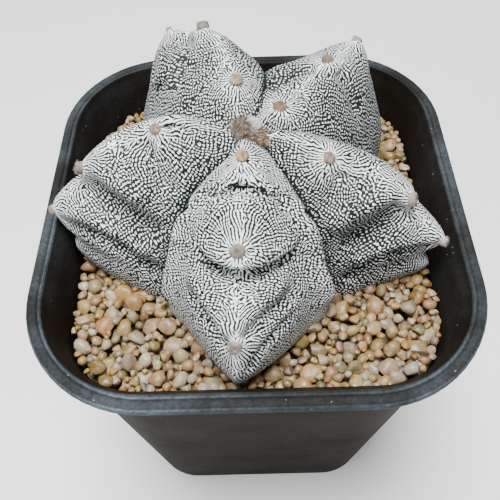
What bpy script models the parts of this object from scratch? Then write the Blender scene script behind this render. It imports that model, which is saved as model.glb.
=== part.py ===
"""Potted bishop's cap cactus in a square plastic pot with quartz gravel on top.

Metres, +Z up. The origin is the middle of the pot's underside. +X is to the
right and -Y faces the viewer.
"""
import math
import random

import bpy
import bmesh
import numpy as np
from mathutils import Matrix, Vector

MM = 0.001
GAP = 0.3                 # clearance between touching pieces, mm

# Pot, mm
POT_HEIGHT = 111.5
DEPTH = 1.053             # depth of the pot over its width
RIM_HALF = 50.0           # half the width over the rim
RIM_CORNER = 27.4         # corner radius of the rim
NECK_HEIGHT = 106.5       # where the wall starts to flare into the rim
WALL = 1.1
FOOT_HALF = 37.2          # half the width at the foot
FOOT_CORNER = 15.0        # corner radius of the wall at the foot
NECK_HALF = 45.2          # half the width of the wall at the neck
NECK_CORNER = 20.5        # corner radius of the wall at the neck
FLOOR = 2.0
CORNER_STEPS = 7
DRAIN_RADIUS = 4.0
DRAIN_OFFSET = 20.0

# Fill, mm
GRAVEL_TOP = 98.5
GRAVEL_BOTTOM = 90.5
PEBBLE_SPACING = 4.15
PEBBLE_MIN = 1.9
PEBBLE_MAX = 2.6

# Plant, mm: its axis, and the levels measured from the rim
AXIS = (-1.72, 0.47)
BODY_ROWS = 37
FLANK_STEPS = 6
AREOLE_RADIUS = 1.75
ROOT_ROWS = ((0.86, -19.0), (0.55, -24.0), (0.34, -29.0), (0.22, -42.0), (0.07, -60.0))

# Ridge of each rib from the crown to the gravel:
# level, azimuth in degrees, radius, height, roundness, bend of the fold, areole
RIDGES = {
    "front": (
        (0.00, -93, 1.0, 20.3, .35, 0, 0), (0.055, -93, 4.6, 21.6, .35, 0, 0),
        (0.10, -92, 8.0, 22.0, .32, 0, 1), (0.15, -92, 12.2, 20.3, .30, -.20, 0),
        (0.175, -92, 13.6, 18.4, .30, -.28, 0), (0.22, -92, 17.0, 20.8, .40, -.03, 0),
        (0.31, -93, 22.8, 20.8, .45, 0, 0), (0.39, -93, 28.2, 17.6, .35, .04, 1),
        (0.43, -93, 30.2, 14.6, .35, .05, 0), (0.455, -93, 29.9, 12.2, .45, .06, 0),
        (0.52, -93, 34.5, 11.8, .50, .03, 0), (0.62, -93, 39.5, 9.9, .32, 0, 0),
        (0.71, -93.5, 43.0, 6.3, .20, 0, 1), (0.79, -93.5, 45.5, 0.0, .12, 0, 0),
        (0.86, -93.5, 45.6, -6.0, .10, 0, 0), (0.93, -93.5, 43.5, -10.5, .10, 0, 0),
        (1.0, -93, 41.0, -14.0, .18, 0, 0)),
    "right": (
        (0.00, -20, 1.0, 20.3, .35, 0, 0), (0.07, -20, 7.0, 21.8, .35, 0, 0),
        (0.14, -22, 12.5, 22.0, .32, 0, 0), (0.22, -23, 19.0, 20.0, .30, 0, 1),
        (0.29, -21, 23.5, 17.9, .30, .02, 0), (0.35, -20, 27.0, 17.6, .35, 0, 0),
        (0.43, -20, 33.0, 16.3, .32, 0, 0), (0.50, -20, 37.6, 12.6, .28, .03, 1),
        (0.55, -20, 38.0, 8.8, .30, .04, 0), (0.60, -20, 41.0, 6.8, .24, 0, 0),
        (0.68, -20, 47.0, 1.2, .13, .03, 1), (0.72, -20.5, 45.2, -2.2, .15, .05, 0),
        (0.76, -21, 42.4, -4.0, .25, .05, 0), (0.83, -21, 45.6, -7.5, .20, 0, 0),
        (0.90, -21, 44.5, -11.0, .22, 0, 0), (1.0, -21, 41.0, -14.0, .25, 0, 0)),
    "far_right": (
        (0.00, 46, 1.0, 20.3, .35, 0, 0), (0.08, 46, 6.0, 20.6, .35, 0, 0),
        (0.15, 44, 11.3, 20.2, .30, 0, 1), (0.20, 45, 15.0, 19.8, .30, .02, 0),
        (0.27, 46, 20.5, 21.2, .35, 0, 0), (0.38, 48, 29.7, 21.0, .30, .02, 1),
        (0.43, 48, 33.5, 20.0, .30, .02, 0), (0.50, 49, 39.5, 18.6, .25, 0, 0),
        (0.55, 49.5, 43.8, 17.8, .20, 0, 1), (0.60, 49, 44.6, 12.0, .25, .04, 0),
        (0.68, 47, 43.6, 6.0, .28, 0, 0), (0.78, 45, 45.4, -2.0, .20, 0, 1),
        (0.88, 44, 44.5, -9.0, .20, 0, 0), (1.0, 43, 40.0, -14.0, .25, 0, 0)),
    "far_left": (
        (0.00, 107, 1.0, 20.3, .35, 0, 0), (0.08, 104, 6.0, 21.0, .40, 0, 0),
        (0.16, 96, 13.0, 24.0, .35, 0, 1), (0.21, 98, 17.5, 23.2, .32, .02, 0),
        (0.28, 101, 24.0, 24.6, .35, 0, 0), (0.37, 106, 33.2, 24.2, .28, 0, 1),
        (0.43, 109, 37.8, 20.4, .26, .02, 0), (0.51, 112, 43.0, 17.6, .26, 0, 0),
        (0.58, 114, 46.3, 15.8, .22, 0, 1), (0.64, 115, 45.6, 8.0, .22, .04, 0),
        (0.72, 117, 44.0, 2.0, .25, 0, 0), (0.80, 119, 46.0, -4.0, .20, 0, 1),
        (0.90, 120, 44.0, -10.0, .20, 0, 0), (1.0, 120, 40.0, -14.0, .25, 0, 0)),
    "left": (
        (0.00, 187, 1.0, 20.3, .35, 0, 0), (0.07, 184, 7.0, 23.0, .35, 0, 0),
        (0.15, 182, 13.5, 24.6, .32, 0, 0), (0.21, 182, 18.2, 22.8, .30, 0, 1),
        (0.28, 183, 23.0, 21.0, .30, .02, 0), (0.35, 184, 28.0, 20.2, .32, 0, 0),
        (0.42, 185, 33.0, 17.8, .30, 0, 0), (0.47, 185.5, 36.0, 14.8, .25, .03, 1),
        (0.52, 186, 36.6, 11.2, .25, .05, 0), (0.58, 187, 40.5, 9.4, .20, 0, 0),
        (0.67, 188.2, 44.7, 4.2, .12, .03, 1), (0.72, 190, 43.4, 0.6, .18, .05, 0),
        (0.76, 192, 40.2, -2.0, .25, .05, 0), (0.83, 192, 42.4, -6.0, .20, 0, 0),
        (0.90, 191, 41.8, -10.5, .22, 0, 0), (1.0, 190, 40.0, -14.0, .25, 0, 0)),
}
# Groove after each rib: level, azimuth, radius, height
GROOVES = {
    "front": (
        (0.00, -50, .6, 20.0), (0.06, -36, 4.4, 19.3), (0.12, -42, 10.0, 17.0),
        (0.18, -45.5, 15.0, 14.2), (0.27, -47, 19.6, 9.6), (0.37, -48, 22.6, 4.6),
        (0.50, -48.5, 25.0, -1.5), (0.65, -48.5, 27.4, -6.6), (0.82, -48, 29.0, -10.5),
        (1.0, -48, 30.0, -14.0)),
    "right": (
        (0.00, 14, .6, 20.0), (0.06, 14, 4.2, 19.3), (0.12, 14, 9.0, 17.4),
        (0.18, 13, 13.5, 15.2), (0.27, 12, 18.6, 11.6), (0.37, 12, 22.4, 6.6),
        (0.50, 12, 25.2, 0.0), (0.65, 12, 27.2, -5.5), (0.82, 12, 28.4, -10.0),
        (1.0, 12, 29.0, -14.0)),
    "far_right": (
        (0.00, 80, .6, 20.0), (0.06, 64, 4.4, 19.3), (0.12, 68, 9.4, 19.0),
        (0.18, 71, 14.0, 19.4), (0.27, 75, 19.6, 19.4), (0.37, 78, 24.4, 16.6),
        (0.50, 80, 26.8, 9.0), (0.65, 81, 28.2, 0.0), (0.82, 81, 28.8, -8.0),
        (1.0, 81, 29.0, -14.0)),
    "far_left": (
        (0.00, 142, .6, 20.0), (0.06, 148, 4.2, 19.3), (0.12, 150, 9.0, 17.8),
        (0.18, 151, 13.5, 16.0), (0.27, 153, 18.6, 12.4), (0.37, 154, 22.2, 7.4),
        (0.50, 154, 25.0, 0.5), (0.65, 154, 27.0, -5.5), (0.82, 154, 28.4, -10.0),
        (1.0, 154, 29.0, -14.0)),
    "left": (
        (0.00, 228, .6, 20.0), (0.06, 238, 3.6, 19.2), (0.12, 227, 9.0, 16.9),
        (0.18, 223, 13.4, 14.4), (0.27, 222.5, 18.2, 9.8), (0.37, 224, 21.6, 5.0),
        (0.50, 225, 24.6, -1.2), (0.65, 226, 26.8, -6.6), (0.82, 227, 28.4, -10.5),
        (1.0, 228, 29.0, -14.0)),
}
# Flanks before and after each ridge: bulge above and below, pillow at the
# groove, two powers of the fall in height, and a swell of the shoulder
FLANKS = {
    "front": ((.10, .05, .03, 1.5, 3.0, .00, 0), (.12, .09, .04, 1.5, 3.0, .00, 0)),
    "right": ((.10, .04, .04, 1.25, 2.6, .00, 0), (.18, .14, .05, 2.4, 3.5, .22, .7)),
    "far_right": ((.10, .26, .05, 1.9, 3.0, .10, 0), (.10, .10, .04, 1.6, 2.6, .00, 0)),
    "far_left": ((.06, .10, .04, 1.5, 2.6, .00, 0), (.07, .21, .05, 1.6, 2.8, .00, 0)),
    "left": ((.16, .14, .05, 2.4, 3.5, .16, 1), (.10, .10, .02, 1.25, 2.6, .00, 0)),
}
ORDER = ("front", "right", "far_right", "far_left", "left")
FOLD_REACH = 0.75
SMOOTHING = ((-.10, .5), (-.07, .8), (-.04, 1.), (0., 1.), (.04, 1.), (.07, .8), (.10, .5))


def clear_scene():
    for item in list(bpy.data.objects):
        bpy.data.objects.remove(item, do_unlink=True)


def material(name, colour, roughness, metallic=0.0):
    mat = bpy.data.materials.new(name)
    mat.use_nodes = True
    shader = mat.node_tree.nodes["Principled BSDF"]
    shader.inputs["Base Color"].default_value = (*colour, 1.0)
    shader.inputs["Roughness"].default_value = roughness
    shader.inputs["Metallic"].default_value = metallic
    return mat


def object_from(bm, name, mat, smooth_angle=None):
    mesh = bpy.data.meshes.new(name)
    bm.to_mesh(mesh)
    bm.free()
    if mat is not None:
        mesh.materials.append(mat)
    if smooth_angle is not None:
        mesh.shade_smooth()
        mesh.set_sharp_from_angle(angle=math.radians(smooth_angle))
    obj = bpy.data.objects.new(name, mesh)
    bpy.context.scene.collection.objects.link(obj)
    return obj


def apply_boolean(obj, operation, other=None, collection=None):
    mod = obj.modifiers.new("boolean", "BOOLEAN")
    mod.operation = operation
    mod.solver = "EXACT"
    if collection is None:
        mod.object = other
    else:
        mod.operand_type = "COLLECTION"
        mod.collection = collection
    graph = bpy.context.evaluated_depsgraph_get()
    mesh = bpy.data.meshes.new_from_object(obj.evaluated_get(graph))
    old = obj.data
    obj.modifiers.remove(mod)
    obj.data = mesh
    mesh.name = obj.name
    bpy.data.meshes.remove(old)


def hidden(obj):
    obj.hide_render = True
    obj.display_type = "WIRE"
    return obj


def join_all(obj, pieces):
    """Unite the pieces with obj in one Boolean, then remove them."""
    group = bpy.data.collections.new(obj.name + "_pieces")
    bpy.context.scene.collection.children.link(group)
    for piece in pieces:
        bpy.context.scene.collection.objects.unlink(piece)
        group.objects.link(piece)
    apply_boolean(obj, "UNION", collection=group)
    for piece in pieces:
        bpy.data.objects.remove(piece, do_unlink=True)
    bpy.data.collections.remove(group)


# Pot: rings of a rounded square
def ring(half, radius, z, steps=CORNER_STEPS):
    """Points of a rounded square of half width half, anticlockwise, in metres."""
    points = []
    for quarter in range(4):
        cx = (half - radius) * (1, -1, -1, 1)[quarter]
        cy = (half * DEPTH - radius) * (1, 1, -1, -1)[quarter]
        for step in range(steps + 1):
            a = math.radians(90 * quarter + 90 * step / steps)
            points.append(Vector(((cx + radius * math.cos(a)) * MM,
                                  (cy + radius * math.sin(a)) * MM, z * MM)))
    return points


def loft(bm, rings):
    """Bridge rings of equal length and cap both ends, faces outwards."""
    loops = [[bm.verts.new(p) for p in points] for points in rings]
    n = len(loops[0])
    for low, high in zip(loops, loops[1:]):
        for i in range(n):
            bm.faces.new((low[i], low[(i + 1) % n], high[(i + 1) % n], high[i]))
    bm.faces.new(loops[0][::-1])
    bm.faces.new(loops[-1])
    bmesh.ops.recalc_face_normals(bm, faces=bm.faces)
    return loops


def wall_half(z):
    """Half the outer width of the tapered wall at a height."""
    return FOOT_HALF + (NECK_HALF - FOOT_HALF) * z / NECK_HEIGHT


def wall_corner(z):
    """Outer corner radius of the tapered wall at a height."""
    return FOOT_CORNER + (NECK_CORNER - FOOT_CORNER) * z / NECK_HEIGHT


def wall_ring(z, inset=0.0):
    """The wall's outline at a height, moved inwards by inset."""
    return ring(wall_half(z) - inset, wall_corner(z) - inset, z)


def add_foot(bm, loop):
    """Close a loop below with a flat foot of eight sides, on which the pot stands."""
    cap = [face for face in loop[0].link_faces if len(face.verts) == len(loop)]
    bmesh.ops.delete(bm, geom=cap, context="FACES_ONLY")
    inset = 1.4
    foot = [bm.verts.new(p) for p in ring(FOOT_HALF - inset, FOOT_CORNER - inset, 0.0, 1)]
    bm.faces.new(foot)
    count = CORNER_STEPS + 1
    middle = count // 2
    for quarter in range(4):
        first, second, third = (foot[(2 * quarter + i) % 8] for i in range(3))
        arc = loop[quarter * count:(quarter + 1) * count]
        for step in range(CORNER_STEPS):
            bm.faces.new((first if step < middle else second, arc[step + 1], arc[step]))
        bm.faces.new((first, second, arc[middle]))
        bm.faces.new((second, third, loop[(quarter + 1) * count % len(loop)], arc[-1]))
    bmesh.ops.recalc_face_normals(bm, faces=bm.faces)


def make_pot(mat):
    top = POT_HEIGHT
    rings = [wall_ring(0.2, 0.8), wall_ring(0.6, 0.2), wall_ring(1.5), wall_ring(NECK_HEIGHT)]
    for inset, z in ((3.0, -2.5), (0.4, -2.4), (0.0, -1.9), (0.0, -1.0), (0.3, -0.4),
                     (0.9, -0.05), (2.1, -0.1), (2.45, -0.5), (2.75, -0.5), (3.0, -0.1),
                     (3.3, -0.1), (3.6, -0.5), (4.4, -2.4)):
        rings.append(ring(RIM_HALF - inset, RIM_CORNER - inset - max(0, inset - 2.9), top + z))
    rings += [wall_ring(NECK_HEIGHT - 0.5, WALL), wall_ring(FLOOR + 1.0, WALL)]
    rings.append(ring(wall_half(FLOOR) - WALL - 1.0, wall_corner(FLOOR) - WALL - 1.0, FLOOR))
    bm = bmesh.new()
    add_foot(bm, loft(bm, rings)[0])
    pot = object_from(bm, "pot", mat, 40)
    for i in range(5):
        angle = math.radians(45 + 90 * i)
        reach = DRAIN_OFFSET * (i < 4)
        bm = bmesh.new()
        bmesh.ops.create_cone(
            bm, cap_ends=True, segments=16, radius1=DRAIN_RADIUS * MM,
            radius2=DRAIN_RADIUS * MM, depth=3 * FLOOR * MM,
            matrix=Matrix.Translation((reach * math.cos(angle) * MM,
                                       reach * math.sin(angle) * MM, FLOOR * MM / 2)))
        cutter = hidden(object_from(bm, "drain_cutter", None))
        apply_boolean(pot, "DIFFERENCE", other=cutter)
        bpy.data.objects.remove(cutter, do_unlink=True)
    return pot


# Plant: flanks stretched between ridge and groove curves
def curve(table, level):
    """Read a table of control rows at the given levels, as a smooth curve."""
    rows = np.array(table, dtype=float)
    x, y = rows[:, 0], rows[:, 1:]
    step = np.diff(x)[:, None]
    slope = np.diff(y, axis=0) / step
    tangent = np.zeros_like(y)
    tangent[0], tangent[-1] = slope[0], slope[-1]
    tangent[1:-1] = (slope[:-1] * step[1:] + slope[1:] * step[:-1]) / (step[1:] + step[:-1])
    level = np.clip(level, x[0], x[-1])
    i = np.clip(np.searchsorted(x, level, side="right") - 1, 0, len(x) - 2)
    h = (x[i + 1] - x[i])[..., None]
    t = (level - x[i])[..., None] / h
    return (y[i] * (2 * t ** 3 - 3 * t ** 2 + 1) + tangent[i] * h * (t ** 3 - 2 * t ** 2 + t)
            + y[i + 1] * (3 * t ** 2 - 2 * t ** 3) + tangent[i + 1] * h * (t ** 3 - t ** 2))


def smoothed(table, level):
    """The same curve with its folds averaged out."""
    total, weight = 0.0, 0.0
    for offset, w in SMOOTHING:
        total = total + curve(table, level + offset * np.minimum(1, level / .1)) * w
        weight += w
    return total / weight


def to_xyz(rows):
    a = np.radians(rows[..., 0])
    return np.stack([rows[..., 1] * np.cos(a), rows[..., 1] * np.sin(a), rows[..., 2]], -1)


def flank(rib, groove, shape, level, turn):
    """Points at a level from the crown (0) to the gravel (1), and a turn from
    the ridge (0) to the groove (1)."""
    here = curve(rib, level)
    base = smoothed(rib, level)
    bent = np.clip(level + here[..., 4] * turn ** 2, 0, 1)
    relief = to_xyz(curve(rib, bent)) - to_xyz(smoothed(rib, bent))
    start, end = to_xyz(base), to_xyz(curve(groove, level))
    e = (base[..., 3] + here[..., 3]) / 2
    t = (np.sqrt(turn ** 2 + e ** 2) - e) / (np.sqrt(1 + e ** 2) - e)
    d = end - start
    length = np.hypot(d[..., 0], d[..., 1]) + 1e-9
    normal = np.stack([d[..., 1], -d[..., 0]], -1) / length[..., None]
    normal *= np.sign((normal * (start + end)[..., :2]).sum(-1))[..., None]
    above, below, pillow, power_a, power_b, swell, keen = shape
    tip = np.clip((level - .25) / .2, 0, 1)
    tip = keen * tip * tip * (3 - 2 * tip)
    power_a, power_b = power_a + (1.1 - power_a) * tip, power_b + (1.8 - power_b) * tip
    k = np.clip((level - .5) / .25, 0, 1)
    k = k * k * (3 - 2 * k)
    bulge = (above + (below - above) * k) * length * np.sin(np.pi * turn) * (1 - .25 * turn)
    bulge = bulge + pillow * length * np.exp(-((turn - .85) / .12) ** 2)
    fall = .55 * t ** power_a + .45 * t ** power_b
    fade = np.exp(-(turn / FOLD_REACH) ** 2) * np.sqrt(1 - turn)
    point = start + relief * fade[..., None]
    point[..., :2] += d[..., :2] * t[..., None] + normal * bulge[..., None]
    point[..., 2] += d[..., 2] * fall
    point[..., 2] += swell * length * np.sin(np.pi * turn) * (1 - turn) * (1 - k) * (1 - tip)
    return point


def body_grid():
    """Rows of points of the plant's skin, then of its root, in millimetres."""
    level = np.linspace(0.0, 1.0, BODY_ROWS + 1)[1:]
    columns = []
    for i, name in enumerate(ORDER):
        before = ORDER[i - 1]
        left = np.linspace(1, 0, FLANK_STEPS, endpoint=False)
        right = np.linspace(0, 1, FLANK_STEPS, endpoint=False)
        for turns, groove, shape in ((left, GROOVES[before], FLANKS[name][0]),
                                     (right, GROOVES[name], FLANKS[name][1])):
            s, t = np.meshgrid(level, turns, indexing="ij")
            columns.append(flank(RIDGES[name], groove, shape, s, t))
    skin = np.concatenate(columns, axis=1)
    rows = [skin]
    for scale, z in ROOT_ROWS:
        row = skin[-1] * scale
        even = np.hypot(row[:, 0], row[:, 1]).mean()
        unit = row[:, :2] / np.hypot(row[:, 0], row[:, 1])[:, None]
        row[:, :2] = row[:, :2] * scale + unit * even * (1 - scale)
        row[:, 2] = z
        rows.append(row[None])
    grid = np.concatenate(rows)
    grid[..., 0] += AXIS[0]
    grid[..., 1] += AXIS[1]
    grid[..., 2] += POT_HEIGHT
    return grid


def grid_normals(grid):
    around = np.roll(grid, -1, axis=1) - np.roll(grid, 1, axis=1)
    down = np.gradient(grid, axis=0)
    normal = np.cross(down, around)
    return normal / (np.linalg.norm(normal, axis=-1, keepdims=True) + 1e-12)


def body_mesh(grid, swell=0.0):
    """Close the grid at the crown and the root's end, grown by swell."""
    points = grid + grid_normals(grid) * swell
    top = points[0].mean(axis=0) + np.array((0, 0, swell))
    end = points[-1].mean(axis=0) - np.array((0, 0, 2.0 + swell))
    bm = bmesh.new()
    rows = [[bm.verts.new(Vector(p * MM)) for p in row] for row in points]
    crown = bm.verts.new(Vector(top * MM))
    tip = bm.verts.new(Vector(end * MM))
    n = len(rows[0])
    for a, b in zip(rows, rows[1:]):
        for i in range(n):
            j = (i + 1) % n
            bm.faces.new((a[i], b[i], b[j], a[j]))
    for i in range(n):
        j = (i + 1) % n
        bm.faces.new((crown, rows[0][i], rows[0][j]))
        bm.faces.new((tip, rows[-1][j], rows[-1][i]))
    bmesh.ops.triangulate(bm, faces=bm.faces)
    bmesh.ops.recalc_face_normals(bm, faces=bm.faces)
    return bm


def blob(name, centre, axes, turn=(0, 0, 0), detail=1, mat=None):
    """An egg of three semi-axes in millimetres."""
    bm = bmesh.new()
    bmesh.ops.create_icosphere(bm, subdivisions=detail, radius=1.0)
    shape = (Matrix.Translation(Vector(centre) * MM)
             @ Matrix.Rotation(turn[2], 4, "Z") @ Matrix.Rotation(turn[1], 4, "Y")
             @ Matrix.Rotation(turn[0], 4, "X") @ Matrix.Diagonal((*[a * MM for a in axes], 1)))
    bmesh.ops.transform(bm, matrix=shape, verts=bm.verts)
    return object_from(bm, name, mat)


def make_body(mat, grid):
    body = object_from(body_mesh(grid), "cactus_body", mat, 60)
    pads = []
    for name in ORDER:
        for row in RIDGES[name]:
            if not row[6]:
                continue
            here, low, high = (to_xyz(curve(RIDGES[name], np.array([row[0] + step])))[0]
                               for step in (0, -.03, .03))
            along = Vector(high - low).normalized()
            side = Vector((-math.sin(math.radians(row[1])), math.cos(math.radians(row[1])), 0))
            out = side.cross(along).normalized()
            if out.dot(Vector((here[0], here[1], 12.0))) < 0:
                out = -out
            centre = Vector(here) + Vector((*AXIS, POT_HEIGHT)) + out * 0.15
            pad = blob("areole", centre, (AREOLE_RADIUS, AREOLE_RADIUS, 1.15))
            pad.data.transform(Matrix.Translation(centre * MM)
                               @ out.to_track_quat("Z", "Y").to_matrix().to_4x4()
                               @ Matrix.Translation(-centre * MM))
            pads.append(pad)
    join_all(body, pads)
    return body


def make_wool(mat, grid):
    """The tuft in the crown, cut to sit just above the skin."""
    centre = Vector((AXIS[0] + 0.3, AXIS[1] + 0.8, POT_HEIGHT + 21.0))
    wool = blob("crown_wool", centre, (3.3, 3.0, 2.8), detail=2, mat=mat)
    lump = blob("lump", centre + Vector((2.9, -2.0, -0.4)), (2.0, 1.6, 1.7), detail=2)
    join_all(wool, [lump])
    raised = grid[:BODY_ROWS] + np.array((0, 0, GAP * 1.6))
    cutter = hidden(object_from(body_mesh(raised), "wool_cutter", None))
    apply_boolean(wool, "DIFFERENCE", other=cutter)
    bpy.data.objects.remove(cutter, do_unlink=True)
    return wool


def fill_block(name, z_low, z_high, mat, chamfer=0.0):
    """A block that fills the pot between two heights."""
    bm = bmesh.new()
    rings = []
    for z, inset in ((z_low, chamfer), (z_low + chamfer, 0.0), (z_high, 0.0)):
        if rings and z == z_low:
            continue
        rings.append(wall_ring(z, WALL + GAP * 1.1 + inset))
    loft(bm, rings)
    return object_from(bm, name, mat)


def under_plant(x, y, edge):
    """Whether a point lies inside the plant's outline at the gravel."""
    inside = False
    for (x0, y0), (x1, y1) in zip(edge, edge[1:] + edge[:1]):
        if (y0 > y) != (y1 > y) and x < x0 + (x1 - x0) * (y - y0) / (y1 - y0):
            inside = not inside
    return inside


def make_gravel(mat, grid, cutter):
    chance = random.Random(11)
    slab = fill_block("gravel", GRAVEL_BOTTOM, GRAVEL_TOP, mat)
    margin = WALL + GAP + PEBBLE_MAX * 0.9
    reach_x = wall_half(GRAVEL_TOP) - margin
    reach_y = wall_half(GRAVEL_TOP) * DEPTH - margin
    corner = wall_corner(GRAVEL_TOP) - margin
    edge = [(p[0] * 0.97, p[1] * 0.97) for p in grid[BODY_ROWS - 1]]
    pebbles = []
    columns = int(2 * reach_x / PEBBLE_SPACING) + 1
    count = int(2 * reach_y / PEBBLE_SPACING) + 1
    for row in range(count):
        for column in range(columns):
            x = -reach_x + 2 * reach_x * (column + 0.5 * (row % 2)) / (columns - 0.5)
            y = -reach_y + 2 * reach_y * row / (count - 1)
            x += chance.uniform(-.7, .7)
            y += chance.uniform(-.7, .7)
            x, y = max(-reach_x, min(reach_x, x)), max(-reach_y, min(reach_y, y))
            cx, cy = abs(x) - (reach_x - corner), abs(y) - (reach_y - corner)
            if (cx > 0 and cy > 0 and math.hypot(cx, cy) > corner) or under_plant(x, y, edge):
                continue
            size = chance.uniform(PEBBLE_MIN, PEBBLE_MAX)
            axes = (size, size * chance.uniform(.72, .95), size * chance.uniform(.6, .8))
            turn = (chance.uniform(-.4, .4), chance.uniform(-.4, .4), chance.uniform(0, 6.28))
            height = GRAVEL_TOP + chance.uniform(-.35, .35)
            pebbles.append(blob("pebble", (x, y, height), axes, turn))
    join_all(slab, pebbles)
    apply_boolean(slab, "DIFFERENCE", other=cutter)
    return slab


def main():
    clear_scene()
    plastic = material("black_plastic", (0.032, 0.034, 0.038), 0.42)
    skin = material("flecked_skin", (0.42, 0.46, 0.45), 0.75)
    quartz = material("quartz_gravel", (0.58, 0.44, 0.29), 0.4)
    earth = material("potting_mix", (0.05, 0.035, 0.025), 0.95)
    felt = material("crown_wool", (0.50, 0.45, 0.37), 0.95)
    grid = body_grid()
    make_pot(plastic)
    make_body(skin, grid)
    make_wool(felt, grid)
    cutter = hidden(object_from(body_mesh(grid[BODY_ROWS // 2:], GAP * 1.5), "cutter", None))
    make_gravel(quartz, grid, cutter)
    soil = fill_block("potting_mix", FLOOR + GAP, GRAVEL_BOTTOM - GAP, earth, chamfer=1.6)
    apply_boolean(soil, "DIFFERENCE", other=cutter)
    bpy.data.objects.remove(cutter, do_unlink=True)


main()
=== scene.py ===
"""A potted bishop's cap cactus: the pot, the gravel, the flecked plant and its felt.

Metres, +Z up. The origin is the middle of the pot's underside. +X is to the
right and -Y faces the viewer. Sizes in the classes are in millimetres.
"""
import logging
import math
import random
from dataclasses import dataclass, field
from enum import Enum
from typing import Optional, Sequence

import bpy
import numpy as np
from mathutils import Matrix, Vector, noise


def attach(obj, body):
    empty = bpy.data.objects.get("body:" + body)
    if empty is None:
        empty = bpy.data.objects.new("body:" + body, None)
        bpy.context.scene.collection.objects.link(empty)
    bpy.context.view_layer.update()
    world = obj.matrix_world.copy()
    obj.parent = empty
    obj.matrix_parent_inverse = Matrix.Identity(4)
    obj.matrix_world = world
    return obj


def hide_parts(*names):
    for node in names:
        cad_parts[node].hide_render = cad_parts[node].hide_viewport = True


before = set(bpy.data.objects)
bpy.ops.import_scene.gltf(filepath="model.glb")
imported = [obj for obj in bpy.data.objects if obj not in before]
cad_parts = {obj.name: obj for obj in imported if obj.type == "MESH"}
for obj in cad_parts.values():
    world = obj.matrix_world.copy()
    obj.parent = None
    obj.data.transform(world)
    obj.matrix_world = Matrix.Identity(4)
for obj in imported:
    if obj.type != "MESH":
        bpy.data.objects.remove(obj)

MM = 0.001
LOG = logging.getLogger("potted_cactus")
Colour = tuple[float, float, float]
Socket = bpy.types.NodeSocket


# Shared helpers

def deselect_all() -> None:
    """Leave object mode with nothing selected."""
    if bpy.context.object and bpy.context.object.mode != "OBJECT":
        bpy.ops.object.mode_set(mode="OBJECT")
    bpy.ops.object.select_all(action="DESELECT")


def pick(obj: bpy.types.Object) -> None:
    """Select one object alone and make it active."""
    deselect_all()
    obj.select_set(True)
    bpy.context.view_layer.objects.active = obj


def mesh_object(name: str, points: np.ndarray, faces: Sequence[np.ndarray]) -> bpy.types.Object:
    """Make an object from arrays of points and faces.

    Args:
        name: The piece's name.
        points: N x 3 places, in metres.
        faces: Arrays of corner numbers, one array for each number of corners.

    Returns:
        The new object, smooth shaded, with its faces turned outwards.
    """
    mesh = bpy.data.meshes.new(name)
    faces = [np.asarray(f, dtype=np.int64) for f in faces if len(f)]
    centre = points.mean(axis=0)
    volume = 0.0
    for f in faces:
        a = points[f[:, 0]] - centre
        for k in range(1, f.shape[1] - 1):
            b, c = points[f[:, k]] - centre, points[f[:, k + 1]] - centre
            volume += float((a * np.cross(b, c)).sum())
    if volume < 0:
        faces = [f[:, ::-1] for f in faces]
    corners = np.concatenate([f.ravel() for f in faces])
    sizes = np.concatenate([np.full(len(f), f.shape[1]) for f in faces])
    starts = np.concatenate([[0], np.cumsum(sizes)[:-1]])
    mesh.vertices.add(len(points))
    mesh.vertices.foreach_set("co", np.ascontiguousarray(points, dtype=np.float32).ravel())
    mesh.loops.add(len(corners))
    mesh.loops.foreach_set("vertex_index", corners.astype(np.int32))
    mesh.polygons.add(len(sizes))
    mesh.polygons.foreach_set("loop_start", starts.astype(np.int32))
    mesh.polygons.foreach_set("use_smooth", np.ones(len(sizes), dtype=bool))
    mesh.update(calc_edges=True)
    mesh.validate()
    obj = bpy.data.objects.new(name, mesh)
    bpy.context.scene.collection.objects.link(obj)
    return obj


def store(obj: bpy.types.Object, name: str, values: np.ndarray) -> None:
    """Keep a number or a colour for each point of a piece.

    Args:
        obj: The piece.
        name: The attribute's name.
        values: N numbers, or N x 3 colours.
    """
    if values.ndim == 1:
        layer = obj.data.attributes.new(name, "FLOAT", "POINT")
        layer.data.foreach_set("value", values.astype(np.float32))
        return
    layer = obj.data.attributes.new(name, "FLOAT_COLOR", "POINT")
    full = np.ones((len(values), 4), dtype=np.float32)
    full[:, :3] = values
    layer.data.foreach_set("color", full.ravel())


def turned_to(normals: np.ndarray) -> tuple[np.ndarray, np.ndarray]:
    """Two unit directions square to each normal.

    Args:
        normals: N x 3 unit normals.

    Returns:
        The two arrays of directions.
    """
    guide = np.where(np.abs(normals[..., 2:3]) < .9, (0., 0., 1.), (1., 0., 0.))
    side = np.cross(guide, normals)
    side /= np.linalg.norm(side, axis=-1, keepdims=True)
    return side, np.cross(normals, side)


def eased(value: np.ndarray) -> np.ndarray:
    """Hold a value between 0 and 1, and ease it at both ends."""
    held = np.clip(value, 0, 1)
    return held * held * (3 - 2 * held)


def hill(value: np.ndarray, middle: float, width: float) -> np.ndarray:
    """A smooth hill of height 1 that stands around a value."""
    return np.exp(-((value - middle) / width) ** 2)


def lumps(points: np.ndarray, scale: float, shift: float) -> np.ndarray:
    """Smooth noise at each point, from another place for each shift."""
    return np.array([noise.noise(Vector(p * scale) + Vector((shift, 0, 0))) for p in points])


def points_of(obj: bpy.types.Object) -> np.ndarray:
    """The places of an object's points, as N x 3 numbers."""
    flat = np.zeros(len(obj.data.vertices) * 3)
    obj.data.vertices.foreach_get("co", flat)
    return flat.reshape(-1, 3)


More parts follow.
